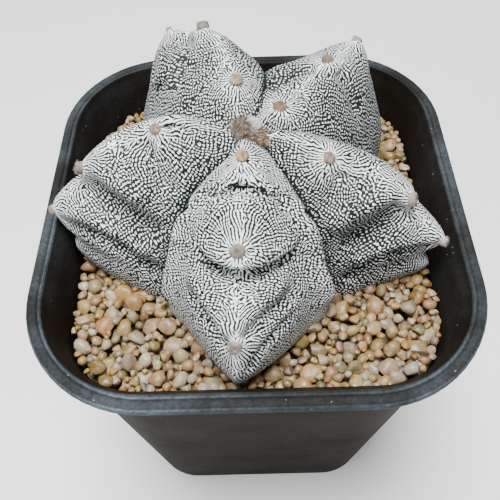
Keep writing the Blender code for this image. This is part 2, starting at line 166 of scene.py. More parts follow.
def ball(subdivisions: int) -> tuple[np.ndarray, np.ndarray]:
    """Model a ball of even triangles, to be shaped and copied.

    Args:
        subdivisions: How often its faces are divided.

    Returns:
        Its points and its faces.
    """
    deselect_all()
    bpy.ops.mesh.primitive_ico_sphere_add(subdivisions=subdivisions, radius=1.0)
    model = bpy.context.object
    points = points_of(model)
    faces = np.array([tuple(f.vertices) for f in model.data.polygons])
    bpy.data.objects.remove(model, do_unlink=True)
    return points, faces


class Paint:
    """One node material, built a node at a time."""

    def __init__(self, name: str) -> None:
        """Start a material that holds a Principled shader and its output."""
        self.material = bpy.data.materials.new(name)
        self.material.use_nodes = True
        self.tree = self.material.node_tree
        self.shader = self.tree.nodes["Principled BSDF"]

    def node(self, kind: str, inputs: Optional[dict] = None, **settings: object) -> bpy.types.Node:
        """Add a node.

        Args:
            kind: The node's type without its ShaderNode prefix.
            inputs: A value or a socket for each input, by name or number.
            settings: Values for the node's own properties.

        Returns:
            The node.
        """
        made = self.tree.nodes.new("ShaderNode" + kind)
        for key, value in settings.items():
            setattr(made, key, value)
        for key, value in (inputs or {}).items():
            self.feed(made.inputs[key], value)
        return made

    def feed(self, socket: Socket, value: object) -> None:
        """Give an input a value, or link another node's output to it."""
        if isinstance(value, bpy.types.NodeSocket):
            self.tree.links.new(value, socket)
        else:
            socket.default_value = value

    def set(self, **inputs: object) -> None:
        """Feed the shader's inputs, with _ for each space in a name."""
        for key, value in inputs.items():
            self.feed(self.shader.inputs[key.replace("_", " ")], value)

    def place(self) -> Socket:
        """Object coordinates."""
        return self.node("TexCoord").outputs["Object"]

    def value(self, name: str) -> Socket:
        """A stored number of the piece."""
        return self.node("Attribute", attribute_name=name).outputs["Fac"]

    def tint(self, name: str) -> Socket:
        """A stored colour of the piece."""
        return self.node("Attribute", attribute_name=name).outputs["Color"]

    def math(self, how: str, a: object, b: object = 0.0, c: object = 0.0) -> Socket:
        """Work out one number from up to three."""
        return self.node("Math", {0: a, 1: b, 2: c}, operation=how).outputs[0]

    def noise(self, scale: float, detail: float = 3.0, rough: float = .55, warp: float = 0.0,
              at: Optional[Socket] = None) -> Socket:
        """Cloudy noise from 0 to 1, with its scale in cells a metre."""
        return self.node("TexNoise", {"Vector": at or self.place(), "Scale": scale,
                                      "Detail": detail, "Roughness": rough,
                                      "Distortion": warp}).outputs["Fac"]

    def cells(self, scale: float, at: Socket, channel: int = 0) -> tuple[Socket, Socket]:
        """Crumbs of random shape.

        Args:
            scale: Crumbs a metre.
            at: The coordinates to read.
            channel: Which of the crumb's three random numbers to give.

        Returns:
            The distance from the crumb's middle, and its random number.
        """
        made = self.node("TexVoronoi", {"Vector": at, "Scale": scale, "Randomness": 1.0})
        colour = self.node("SeparateColor", {0: made.outputs["Color"]})
        return made.outputs["Distance"], colour.outputs[channel]

    def ramp(self, value: Socket, low: float, high: float, start: float = 0.0,
             end: float = 1.0) -> Socket:
        """Ease a value from start to end as it goes from low to high."""
        return self.node("MapRange", {"Value": value, "From Min": low, "From Max": high,
                                      "To Min": start, "To Max": end},
                         interpolation_type="SMOOTHSTEP").outputs["Result"]

    def mix(self, amount: object, first: object, second: object, how: str = "MIX") -> Socket:
        """Mix two colours.

        Args:
            amount: How much of the second colour.
            first: The first colour, or a socket.
            second: The second colour, or a socket.
            how: The way to mix.

        Returns:
            The mixed colour.
        """
        made = self.node("Mix", data_type="RGBA", blend_type=how)
        for key, value in ((0, amount), (6, first), (7, second)):
            if isinstance(value, tuple) and len(value) == 3:
                value = (*value, 1.0)
            self.feed(made.inputs[key], value)
        return made.outputs[2]

    def bump(self, height: Socket, distance: float, strength: float = 1.0,
             under: Optional[Socket] = None) -> Socket:
        """Turn a height into a normal.

        Args:
            height: The height, from 0 to 1.
            distance: What a height of 1 stands for, in metres.
            strength: How much of it shows.
            under: The normal that it adds to.

        Returns:
            The normal.
        """
        made = self.node("Bump", {"Height": height, "Distance": distance, "Strength": strength})
        if under is not None:
            self.feed(made.inputs["Normal"], under)
        return made.outputs["Normal"]


# Finishes

@dataclass(frozen=True)
class MouldedPlastic:
    """Satin black plastic with dust, scuffs, mineral specks and painted sheen on tops and rim lip.
    """

    base: Colour = (0.0060, 0.0038, 0.0018)
    dust_and_sheen: Colour = (0.120, 0.155, 0.180)
    speck: Colour = (0.42, 0.42, 0.40)
    # Share of the dust colour on upward-facing faces: partly real dust, partly painted sheen.
    lying_dust_and_sheen: float = .26
    wall_dust: float = .08
    # Height band of the painted sheen on the rim lip's outer face.
    lip_sheen_starts: float = .1068
    lip_sheen_ends: float = .1080
    speck_turn: tuple = (.6, .5, .4)
    speck_strength: float = .35
    rub_strength: float = .04

    def make(self) -> bpy.types.Material:
        """Build the material."""
        p = Paint("moulded_plastic")
        at = p.place()
        up = p.node("SeparateXYZ", {0: p.node("NewGeometry").outputs["Normal"]}).outputs["Z"]
        cloud = p.noise(45, 5, .6, .4, at)
        fine = p.noise(1300, 3, .6, 0, at)
        # Upward-facing faces take the dust colour: real dust together with a painted sheen from
        # the lamps above.
        lying = p.ramp(up, .25, .95)
        inner = p.ramp(up, .03, .12, 0, self.wall_dust)
        film = p.math("MULTIPLY", p.ramp(cloud, .36, .68, .25, 1.0),
                      p.ramp(fine, .3, .7, .55, 1.0))
        height = p.node("SeparateXYZ", {0: at}).outputs["Z"]
        outward = p.node("VectorMath", {0: p.node("NewGeometry").outputs["Normal"], 1: at},
                         operation="DOT_PRODUCT").outputs["Value"]
        outward = p.math("MULTIPLY_ADD", p.math("MULTIPLY", up, height), -1.0, outward)
        # Painted sheen: a lighter, mottled band of the dust colour on the rim lip's outer face.
        painted_lip_sheen = p.math("MULTIPLY", p.ramp(height, self.lip_sheen_starts, self.lip_sheen_ends),
                     p.ramp(up, .70, .99, 1, 0))
        painted_lip_sheen = p.math("MULTIPLY", painted_lip_sheen, p.math("MULTIPLY", film, p.ramp(outward, .004, .012)))
        amount = p.math("MULTIPLY", film, p.math("MULTIPLY_ADD", lying, self.lying_dust_and_sheen, inner))
        colour = p.mix(p.math("MAXIMUM", amount, painted_lip_sheen), self.base, self.dust_and_sheen)
        turned = p.node("Mapping", {"Vector": at, "Rotation": self.speck_turn}).outputs[0]
        distance, chance = p.cells(560.0, turned)
        dot = p.math("MULTIPLY", p.ramp(distance, .05, .13, 1.0, 0.0), p.ramp(chance, .86, .88))
        colour = p.mix(p.math("MULTIPLY", dot, self.speck_strength), colour, self.speck)
        stretched = p.node("Mapping", {"Vector": at, "Scale": (1.0, 1.0, 9.0)}).outputs[0]
        rub = p.ramp(p.noise(160, 4, .7, 0, stretched), .62, .74)
        p.set(Base_Color=p.mix(p.math("MULTIPLY", rub, self.rub_strength), colour, self.dust_and_sheen),
              Roughness=p.ramp(cloud, .3, .75, .46, .54), Specular_IOR_Level=.012)
        mould = p.bump(p.noise(700, 3, .6, 0, at), 0.00006, .6)
        p.set(Normal=p.bump(p.noise(70, 2, .5, 0, at), 0.00035, .5, mould))
        return p.material


@dataclass(frozen=True)
class DampSoil:
    """Crumbly dark brown potting mix with pale grains."""

    wet: Colour = (0.020, 0.013, 0.009)
    dry: Colour = (0.085, 0.058, 0.038)
    grain: Colour = (0.36, 0.30, 0.22)

    def make(self) -> bpy.types.Material:
        """Build the material."""
        p = Paint("damp_soil")
        at = p.place()
        distance, chance = p.cells(520.0, at, 1)
        clump = p.noise(180, 6, .7, .6, at)
        colour = p.mix(p.ramp(clump, .35, .65), self.wet, self.dry)
        colour = p.mix(p.math("MULTIPLY", p.ramp(chance, .90, .92), .7), colour, self.grain)
        height = p.math("ADD", p.math("MULTIPLY", distance, .5), clump)
        p.set(Base_Color=colour, Roughness=.95, Normal=p.bump(height, 0.0009))
        return p.material


@dataclass(frozen=True)
class WornQuartz:
    """Half-clear worn quartz whose colour is stored for each pebble."""

    name: str = "worn_quartz"
    depth: float = 0.45
    gloss: float = 0.38
    stain: Colour = (0.20, 0.112, 0.04)
    haze: Colour = (0.26, 0.178, 0.080)
    grain: Colour = (0.52, 0.43, 0.29)

    def make(self) -> bpy.types.Material:
        """Build the material."""
        p = Paint(self.name)
        at = p.place()
        tint = p.tint("tint")
        cloud = p.noise(330, 4, .6, .8, at)
        vein = p.noise(620, 5, .7, 2.0, at)
        grain = p.noise(1500, 3, .7, .6, at)
        colour = p.mix(p.ramp(cloud, .40, .62, 0, .62), tint, self.haze)
        colour = p.mix(p.ramp(vein, .50, .66, 0, .50), colour, self.stain)
        colour = p.mix(p.ramp(grain, .56, .70, 0, .34), colour, self.grain)
        p.set(Base_Color=colour,
              Roughness=p.ramp(cloud, .3, .7, self.gloss - .02, self.gloss + .24),
              Subsurface_Weight=self.depth, Subsurface_Radius=(1.0, .74, .48),
              Subsurface_Scale=0.0016, Coat_Weight=.07, Coat_Roughness=.20)
        pits = p.bump(p.noise(1900, 3, .7, 0, at), 0.00009, .8)
        p.set(Normal=p.bump(p.noise(520, 3, .6, .3, at), 0.00034, .8, pits))
        return p.material


@dataclass(frozen=True)
class GritWithPaintedShade:
    """Small grains and dust under the pebbles, kept dark as painted shade in the gaps."""

    # Both colours are partly the grit's own and partly painted shade between the pebbles.
    deep: Colour = (0.05, 0.033, 0.017)
    pale: Colour = (0.17, 0.115, 0.06)

    def make(self) -> bpy.types.Material:
        """Build the material."""
        p = Paint("grit_with_painted_shade")
        distance, shade = p.cells(650.0, p.place())
        p.set(Base_Color=p.mix(shade, self.deep, self.pale), Roughness=.8,
              Normal=p.bump(distance, 0.0011))
        return p.material


@dataclass(frozen=True)
class FleckedSkin:
    """Near-black green skin under rows of white felt flecks."""

    skin: Colour = (0.006, 0.010, 0.009)
    bloom: Colour = (0.014, 0.019, 0.018)
    felt: Colour = (0.64, 0.68, 0.68)
    bright: Colour = (0.88, 0.89, 0.88)
    matted: Colour = (0.50, 0.55, 0.55)

    def make(self) -> bpy.types.Material:
        """Build the material from the wave numbers that the skin's points hold."""
        p = Paint("flecked_skin")
        at = p.place()
        stripes, strength = self.wave(p, "stripe_re", "stripe_im")
        beads, _ = self.wave(p, "bead_re", "bead_im")
        weak = p.ramp(strength, .03, .26, .45, 0)
        beading = p.math("ADD", p.value("beading"), weak)
        # The stored cover holds the flecks' own density together with painted shade and light.
        cover = p.value("cover")
        height = p.math("MULTIPLY_ADD", beads, beading, stripes)
        ragged = p.math("MULTIPLY_ADD", p.noise(5200, 2, .6, 0, at), .7, -.35)
        height = p.math("ADD", p.math("MULTIPLY_ADD", weak, .4, height), ragged)
        edge = p.math("MULTIPLY_ADD", cover, -2.2, 1.1)
        over = p.math("SUBTRACT", height, edge)
        fleck = p.ramp(over, -.20, .22)
        soft = p.noise(2600, 3, .6, 0, at)
        thick = p.ramp(over, .1, 1.5)
        white = p.mix(thick, self.felt, self.bright)
        white = p.mix(p.ramp(soft, .35, .7, 0, .22), white, self.matted)
        dark = p.mix(p.ramp(p.noise(240, 3, .6, .5, at), .4, .7, 0, .8), self.skin, self.bloom)
        p.set(Base_Color=p.mix(fleck, dark, white), Roughness=p.ramp(fleck, 0, 1, .6, .92),
              Specular_IOR_Level=.12)
        p.set(Normal=p.bump(p.math("MULTIPLY_ADD", soft, .25, fleck), 0.00013, .8))
        return p.material

    @staticmethod
    def wave(p: Paint, real: str, imaginary: str) -> tuple[Socket, Socket]:
        """A wave of even height from two stored numbers of half its pitch, and its strength."""
        a, b = p.value(real), p.value(imaginary)
        aa, bb = p.math("MULTIPLY", a, a), p.math("MULTIPLY", b, b)
        total = p.math("ADD", p.math("ADD", aa, bb), .02)
        return p.math("DIVIDE", p.math("SUBTRACT", aa, bb), total), total


@dataclass(frozen=True)
class Felt:
    """Matted hair whose colour is stored for each point."""

    name: str = "areole_felt"
    scale: float = 2400.0
    tips: Colour = (0.66, 0.60, 0.52)
    hollows: Colour = (0.09, 0.06, 0.045)

    def make(self) -> bpy.types.Material:
        """Build the material."""
        p = Paint(self.name)
        at = p.place()
        strand = p.noise(self.scale, 4, .7, 1.2, at)
        lump = p.noise(850, 4, .7, .5, at)
        colour = p.mix(p.ramp(strand, .42, .68, 0, .32), p.tint("tint"), self.tips)
        colour = p.mix(p.ramp(lump, .42, .66, 0, .75), colour, self.hollows)
        p.set(Base_Color=colour, Roughness=.95, Sheen_Weight=.08, Sheen_Roughness=.5,
              Normal=p.bump(strand, 0.00045))
        return p.material


@dataclass(frozen=True)
class FineHair:
    """Thin dry hairs."""

    name: str = "fine_hair"
    worn: Colour = (0.16, 0.12, 0.09)

    def make(self) -> bpy.types.Material:
        """Build the material."""
        p = Paint(self.name)
        shade = p.noise(3000, 2, .5, 0, p.place())
        colour = p.mix(p.ramp(shade, .35, .7, 0, .4), p.tint("tint"), self.worn)
        p.set(Base_Color=colour, Roughness=.8, Specular_IOR_Level=.2,
              Normal=p.bump(shade, 0.00008))
        return p.material


@dataclass(frozen=True)
class PaleFloor:
    """A plain pale floor."""

    colour: Colour = (0.80, 0.80, 0.79)
    cloud: Colour = (0.74, 0.74, 0.73)

    def make(self) -> bpy.types.Material:
        """Build the material."""
        p = Paint("pale_floor")
        shade = p.ramp(p.noise(6, 2, .5, 0), .3, .7, 0, .04)
        p.set(Base_Color=p.mix(shade, self.colour, self.cloud), Roughness=.7)
        return p.material


# The pot

@dataclass
class SquarePot:
    """A tapered square pot with rounded corners and a thin rolled rim."""

    height: float = 111.5
    depth: float = 1.053
    rim_half: float = 50.0
    rim_corner: float = 27.4
    neck_height: float = 106.5
    wall: float = 1.1
    foot_half: float = 37.2
    foot_corner: float = 15.0
    neck_half: float = 45.2
    neck_corner: float = 20.5
    floor: float = 2.0
    drain_radius: float = 4.0
    drain_offset: float = 20.0
    corner_steps: int = 14
    rim_rows: tuple = (
        (3.9, -3.6), (2.6, -2.75), (1.0, -2.5), (.35, -2.42), (.08, -2.2), (.0, -1.85),
        (.0, -1.2), (.07, -.72), (.26, -.34), (.6, -.10), (1.1, .0), (1.65, -.02), (2.0, -.10),
        (2.2, -.26), (2.34, -.46), (2.5, -.54), (2.66, -.46), (2.78, -.24), (2.92, -.10),
        (3.12, -.05), (3.32, -.10), (3.46, -.28), (3.6, -.6), (3.85, -1.2), (4.4, -2.4))

    def wall_half(self, z: float) -> float:
        """Half the outer width of the wall at a height."""
        return self.foot_half + (self.neck_half - self.foot_half) * z / self.neck_height

    def wall_corner(self, z: float) -> float:
        """Outer corner radius of the wall at a height."""
        return self.foot_corner + (self.neck_corner - self.foot_corner) * z / self.neck_height

    def profile(self) -> list[tuple[float, float, float]]:
        """Half width, corner radius and height of each outline, from the foot
        up the outside, over the rim and down to the floor inside."""
        rows = []
        for z, inset in ((.0, 1.3), (.12, .75), (.45, .3), (1.0, .08), (1.8, .0),
                         (self.neck_height * .5, .0), (self.neck_height - 1.0, .0)):
            rows.append((self.wall_half(z) - inset, self.wall_corner(z) - inset, z))
        for inset, z in self.rim_rows:
            corner = self.rim_corner - inset - max(0.0, inset - 2.9)
            rows.append((self.rim_half - inset, corner, self.height + z))
        for z in (self.neck_height - .6, self.neck_height * .5, self.floor + 1.2):
            rows.append((self.wall_half(z) - self.wall, self.wall_corner(z) - self.wall, z))
        inner = self.wall_half(self.floor) - self.wall
        corner = self.wall_corner(self.floor) - self.wall
        rows.append((inner - .35, corner - .35, self.floor + .35))
        rows.append((inner - 1.2, corner - 1.2, self.floor))
        return rows

    def outline(self, half: float, corner: float, z: float) -> bpy.types.Object:
        """Draw one outline: a plane with its four corners rounded.

        Args:
            half: Half its width.
            corner: Its corner radius.
            z: Its height.

        Returns:
            A loop of edges with no face.
        """
        deselect_all()
        bpy.ops.mesh.primitive_plane_add(size=2.0, location=(0, 0, z * MM))
        loop = bpy.context.object
        bpy.ops.object.mode_set(mode="EDIT")
        bpy.ops.mesh.select_all(action="SELECT")
        bpy.ops.transform.resize(value=(half * MM, half * self.depth * MM, 1.0),
                                 center_override=(0, 0, z * MM))
        bpy.ops.mesh.bevel(offset=corner * MM, segments=self.corner_steps, affect="VERTICES",
                           clamp_overlap=False)
        bpy.ops.mesh.select_all(action="SELECT")
        bpy.ops.mesh.delete(type="ONLY_FACE")
        bpy.ops.object.mode_set(mode="OBJECT")
        bpy.ops.object.transform_apply(location=True, rotation=True, scale=True)
        return loop

    def build(self) -> bpy.types.Object:
        """Bridge the outlines into one closed shell and drill the drain holes.

        Returns:
            The pot.
        """
        rows = self.profile()
        pot = self.outline(*rows[0])
        pot.name = pot.data.name = "square_pot"
        before, last = 0, len(pot.data.vertices)
        self.cap(pot, 0, last)
        for row in rows[1:]:
            ring = self.outline(*row)
            deselect_all()
            ring.select_set(True)
            pot.select_set(True)
            bpy.context.view_layer.objects.active = pot
            bpy.ops.object.join()
            self.select_points(pot, before, len(pot.data.vertices))
            bpy.ops.object.mode_set(mode="EDIT")
            bpy.ops.mesh.bridge_edge_loops()
            bpy.ops.object.mode_set(mode="OBJECT")
            before, last = last, len(pot.data.vertices)
        self.cap(pot, before, last)
        self.select_points(pot, 0, last)
        bpy.ops.object.mode_set(mode="EDIT")
        bpy.ops.mesh.normals_make_consistent(inside=False)
        bpy.ops.object.mode_set(mode="OBJECT")
        self.drill(pot)
        pick(pot)
        bpy.ops.object.shade_smooth_by_angle(angle=math.radians(42))
        return pot

    @staticmethod
    def select_points(obj: bpy.types.Object, start: int, end: int) -> None:
        """Select the points of an object between two numbers."""
        pick(obj)
        bpy.ops.object.mode_set(mode="EDIT")
        bpy.ops.mesh.select_mode(type="VERT")
        bpy.ops.mesh.select_all(action="DESELECT")
        bpy.ops.object.mode_set(mode="OBJECT")
        for point in obj.data.vertices[start:end]:
            point.select = True

    def cap(self, obj: bpy.types.Object, start: int, end: int) -> None:
        """Close an outline with one face."""
        self.select_points(obj, start, end)
        bpy.ops.object.mode_set(mode="EDIT")
        bpy.ops.mesh.edge_face_add()
        bpy.ops.object.mode_set(mode="OBJECT")

    def drill(self, pot: bpy.types.Object) -> None:
        """Cut five drain holes through the floor."""
        for i in range(5):
            angle = math.radians(45 + 90 * i)
            reach = self.drain_offset * (i < 4) * MM
            deselect_all()
            bpy.ops.mesh.primitive_cylinder_add(
                vertices=32, radius=self.drain_radius * MM, depth=3 * self.floor * MM,
                location=(reach * math.cos(angle), reach * math.sin(angle), self.floor * MM / 2))
            drill = bpy.context.object
            cut = pot.modifiers.new("drain", "BOOLEAN")
            cut.operation, cut.solver, cut.object = "DIFFERENCE", "EXACT", drill
            pick(pot)
            bpy.ops.object.modifier_apply(modifier=cut.name)
            bpy.data.objects.remove(drill, do_unlink=True)

    def dress(self, pot: bpy.types.Object, finish: MouldedPlastic) -> None:
        """Give the pot its plastic and its place in the frame."""
        pot.data.materials.clear()
        pot.data.materials.append(finish.make())
        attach(pot, "root")
        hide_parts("pot")


# The plant

# Rows of a ridge: level from the crown, 0, to the gravel, 1, then azimuth, radius
# and height, how round the ridge is, how far its folds bend along the flanks, and
# 1 where an areole sits. Rows of a groove have the first four
RIDGES = {
    "front": (
        (0.00, -93, 1.0, 20.3, .35, 0, 0), (0.055, -93, 4.6, 21.6, .35, 0, 0),
        (0.10, -92, 8.0, 22.0, .32, 0, 1), (0.15, -92, 12.2, 20.3, .30, -.20, 0),
        (0.175, -92, 13.6, 18.4, .30, -.28, 0), (0.22, -92, 17.0, 20.8, .40, -.03, 0),
        (0.31, -93, 22.8, 20.8, .45, 0, 0), (0.39, -93, 28.2, 17.6, .35, .04, 1),
        (0.43, -93, 30.2, 14.6, .35, .05, 0), (0.455, -93, 29.9, 12.2, .45, .06, 0),
        (0.52, -93, 34.5, 11.8, .50, .03, 0), (0.62, -93, 39.5, 9.9, .32, 0, 0),
        (0.71, -93.5, 43.0, 6.3, .20, 0, 1), (0.79, -93.5, 45.5, 0.0, .12, 0, 0),
        (0.86, -93.5, 45.6, -6.0, .10, 0, 0), (0.93, -93.5, 43.5, -10.5, .10, 0, 0),
        (1.0, -93, 41.0, -14.0, .18, 0, 0)),
    "right": (
        (0.00, -20, 1.0, 20.3, .35, 0, 0), (0.07, -20, 7.0, 21.8, .35, 0, 0),
        (0.14, -22, 12.5, 22.0, .32, 0, 0), (0.22, -23, 19.0, 20.0, .30, 0, 1),
        (0.29, -21, 23.5, 17.9, .30, .02, 0), (0.35, -20, 27.0, 17.6, .35, 0, 0),
        (0.43, -20, 33.0, 16.3, .32, 0, 0), (0.50, -20, 37.6, 12.6, .28, .03, 1),
        (0.55, -20, 38.0, 8.8, .30, .04, 0), (0.60, -20, 41.0, 6.8, .24, 0, 0),
        (0.68, -20, 47.0, 1.2, .13, .03, 1), (0.72, -20.5, 45.2, -2.2, .15, .05, 0),
        (0.76, -21, 42.4, -4.0, .25, .05, 0), (0.83, -21, 45.6, -7.5, .20, 0, 0),
        (0.90, -21, 44.5, -11.0, .22, 0, 0), (1.0, -21, 41.0, -14.0, .25, 0, 0)),
    "far_right": (
        (0.00, 46, 1.0, 20.3, .35, 0, 0), (0.08, 46, 6.0, 20.6, .35, 0, 0),
        (0.15, 44, 11.3, 20.2, .30, 0, 1), (0.20, 45, 15.0, 19.8, .30, .02, 0),
        (0.27, 46, 20.5, 21.2, .35, 0, 0), (0.38, 48, 29.7, 21.0, .30, .02, 1),
        (0.43, 48, 33.5, 20.0, .30, .02, 0), (0.50, 49, 39.5, 18.6, .25, 0, 0),
        (0.55, 49.5, 43.8, 17.8, .20, 0, 1), (0.60, 49, 44.6, 12.0, .25, .04, 0),
        (0.68, 47, 43.6, 6.0, .28, 0, 0), (0.78, 45, 45.4, -2.0, .20, 0, 1),
        (0.88, 44, 44.5, -9.0, .20, 0, 0), (1.0, 43, 40.0, -14.0, .25, 0, 0)),
    "far_left": (
        (0.00, 107, 1.0, 20.3, .35, 0, 0), (0.08, 104, 6.0, 21.0, .40, 0, 0),
        (0.16, 96, 13.0, 24.0, .35, 0, 1), (0.21, 98, 17.5, 23.2, .32, .02, 0),
        (0.28, 101, 24.0, 24.6, .35, 0, 0), (0.37, 106, 33.2, 24.2, .28, 0, 1),
        (0.43, 109, 37.8, 20.4, .26, .02, 0), (0.51, 112, 43.0, 17.6, .26, 0, 0),
        (0.58, 114, 46.3, 15.8, .22, 0, 1), (0.64, 115, 45.6, 8.0, .22, .04, 0),
        (0.72, 117, 44.0, 2.0, .25, 0, 0), (0.80, 119, 46.0, -4.0, .20, 0, 1),
        (0.90, 120, 44.0, -10.0, .20, 0, 0), (1.0, 120, 40.0, -14.0, .25, 0, 0)),
    "left": (
        (0.00, 187, 1.0, 20.3, .35, 0, 0), (0.07, 184, 7.0, 23.0, .35, 0, 0),
        (0.15, 182, 13.5, 24.6, .32, 0, 0), (0.21, 182, 18.2, 22.8, .30, 0, 1),
        (0.28, 183, 23.0, 21.0, .30, .02, 0), (0.35, 184, 28.0, 20.2, .32, 0, 0),
        (0.42, 185, 33.0, 17.8, .30, 0, 0), (0.47, 185.5, 36.0, 14.8, .25, .03, 1),
        (0.52, 186, 36.6, 11.2, .25, .05, 0), (0.58, 187, 40.5, 9.4, .20, 0, 0),
        (0.67, 188.2, 44.7, 4.2, .12, .03, 1), (0.72, 190, 43.4, 0.6, .18, .05, 0),
        (0.76, 192, 40.2, -2.0, .25, .05, 0), (0.83, 192, 42.4, -6.0, .20, 0, 0),
        (0.90, 191, 41.8, -10.5, .22, 0, 0), (1.0, 190, 40.0, -14.0, .25, 0, 0)),
}
GROOVES = {
    "front": (
        (0.00, -50, .6, 20.0), (0.06, -36, 4.4, 19.3), (0.12, -42, 10.0, 17.0),
        (0.18, -45.5, 15.0, 14.2), (0.27, -47, 19.6, 9.6), (0.37, -48, 22.6, 4.6),
        (0.50, -48.5, 25.0, -1.5), (0.65, -48.5, 27.4, -6.6), (0.82, -48, 29.0, -10.5),
        (1.0, -48, 30.0, -14.0)),
    "right": (
        (0.00, 14, .6, 20.0), (0.06, 14, 4.2, 19.3), (0.12, 14, 9.0, 17.4),
        (0.18, 13, 13.5, 15.2), (0.27, 12, 18.6, 11.6), (0.37, 12, 22.4, 6.6),
        (0.50, 12, 25.2, 0.0), (0.65, 12, 27.2, -5.5), (0.82, 12, 28.4, -10.0),
        (1.0, 12, 29.0, -14.0)),
    "far_right": (
        (0.00, 80, .6, 20.0), (0.06, 64, 4.4, 19.3), (0.12, 68, 9.4, 19.0),
        (0.18, 71, 14.0, 19.4), (0.27, 75, 19.6, 19.4), (0.37, 78, 24.4, 16.6),
        (0.50, 80, 26.8, 9.0), (0.65, 81, 28.2, 0.0), (0.82, 81, 28.8, -8.0),
        (1.0, 81, 29.0, -14.0)),
    "far_left": (
        (0.00, 142, .6, 20.0), (0.06, 148, 4.2, 19.3), (0.12, 150, 9.0, 17.8),
        (0.18, 151, 13.5, 16.0), (0.27, 153, 18.6, 12.4), (0.37, 154, 22.2, 7.4),
        (0.50, 154, 25.0, 0.5), (0.65, 154, 27.0, -5.5), (0.82, 154, 28.4, -10.0),
        (1.0, 154, 29.0, -14.0)),
    "left": (
        (0.00, 228, .6, 20.0), (0.06, 238, 3.6, 19.2), (0.12, 227, 9.0, 16.9),
        (0.18, 223, 13.4, 14.4), (0.27, 222.5, 18.2, 9.8), (0.37, 224, 21.6, 5.0),
        (0.50, 225, 24.6, -1.2), (0.65, 226, 26.8, -6.6), (0.82, 227, 28.4, -10.5),
        (1.0, 228, 29.0, -14.0)),
}
# The two flanks of each rib: bulge above and below, pillow beside the groove, two
# powers of the fall, swell of the shoulder and how keen the lower ridge is
FLANKS = {
    "front": ((.10, .05, .03, 1.5, 3.0, .00, 0), (.12, .09, .04, 1.5, 3.0, .00, 0)),
    "right": ((.10, .04, .04, 1.25, 2.6, .00, 0), (.18, .14, .05, 2.4, 3.5, .22, .7)),
    "far_right": ((.10, .26, .05, 1.9, 3.0, .10, 0), (.10, .10, .04, 1.6, 2.6, .00, 0)),
    "far_left": ((.06, .10, .04, 1.5, 2.6, .00, 0), (.07, .21, .05, 1.6, 2.8, .00, 0)),
    "left": ((.16, .14, .05, 2.4, 3.5, .16, 1), (.10, .10, .02, 1.25, 2.6, .00, 0)),
}
# Offsets of level and their shares in the curve without folds
SMOOTHING = ((-.10, .5), (-.07, .8), (-.04, 1.), (0., 1.), (.04, 1.), (.07, .8), (.10, .5))


class Rib(Enum):
    """The five ribs, anticlockwise from the one at the front."""

    FRONT = "front"
    RIGHT = "right"
    FAR_RIGHT = "far_right"
    FAR_LEFT = "far_left"
    LEFT = "left"


@dataclass(frozen=True)
class Relief:
    """A fold or a swelling that runs along a line on one rib, with painted shade or light in its
    flecks.
    """

    rib: Rib
    height: float
    width: float
    path: tuple
    hang: float = 0.0
    # How far it thins the flecks along it: painted shade, or painted light below 0.
    painted_fold_shade: float = 0.0


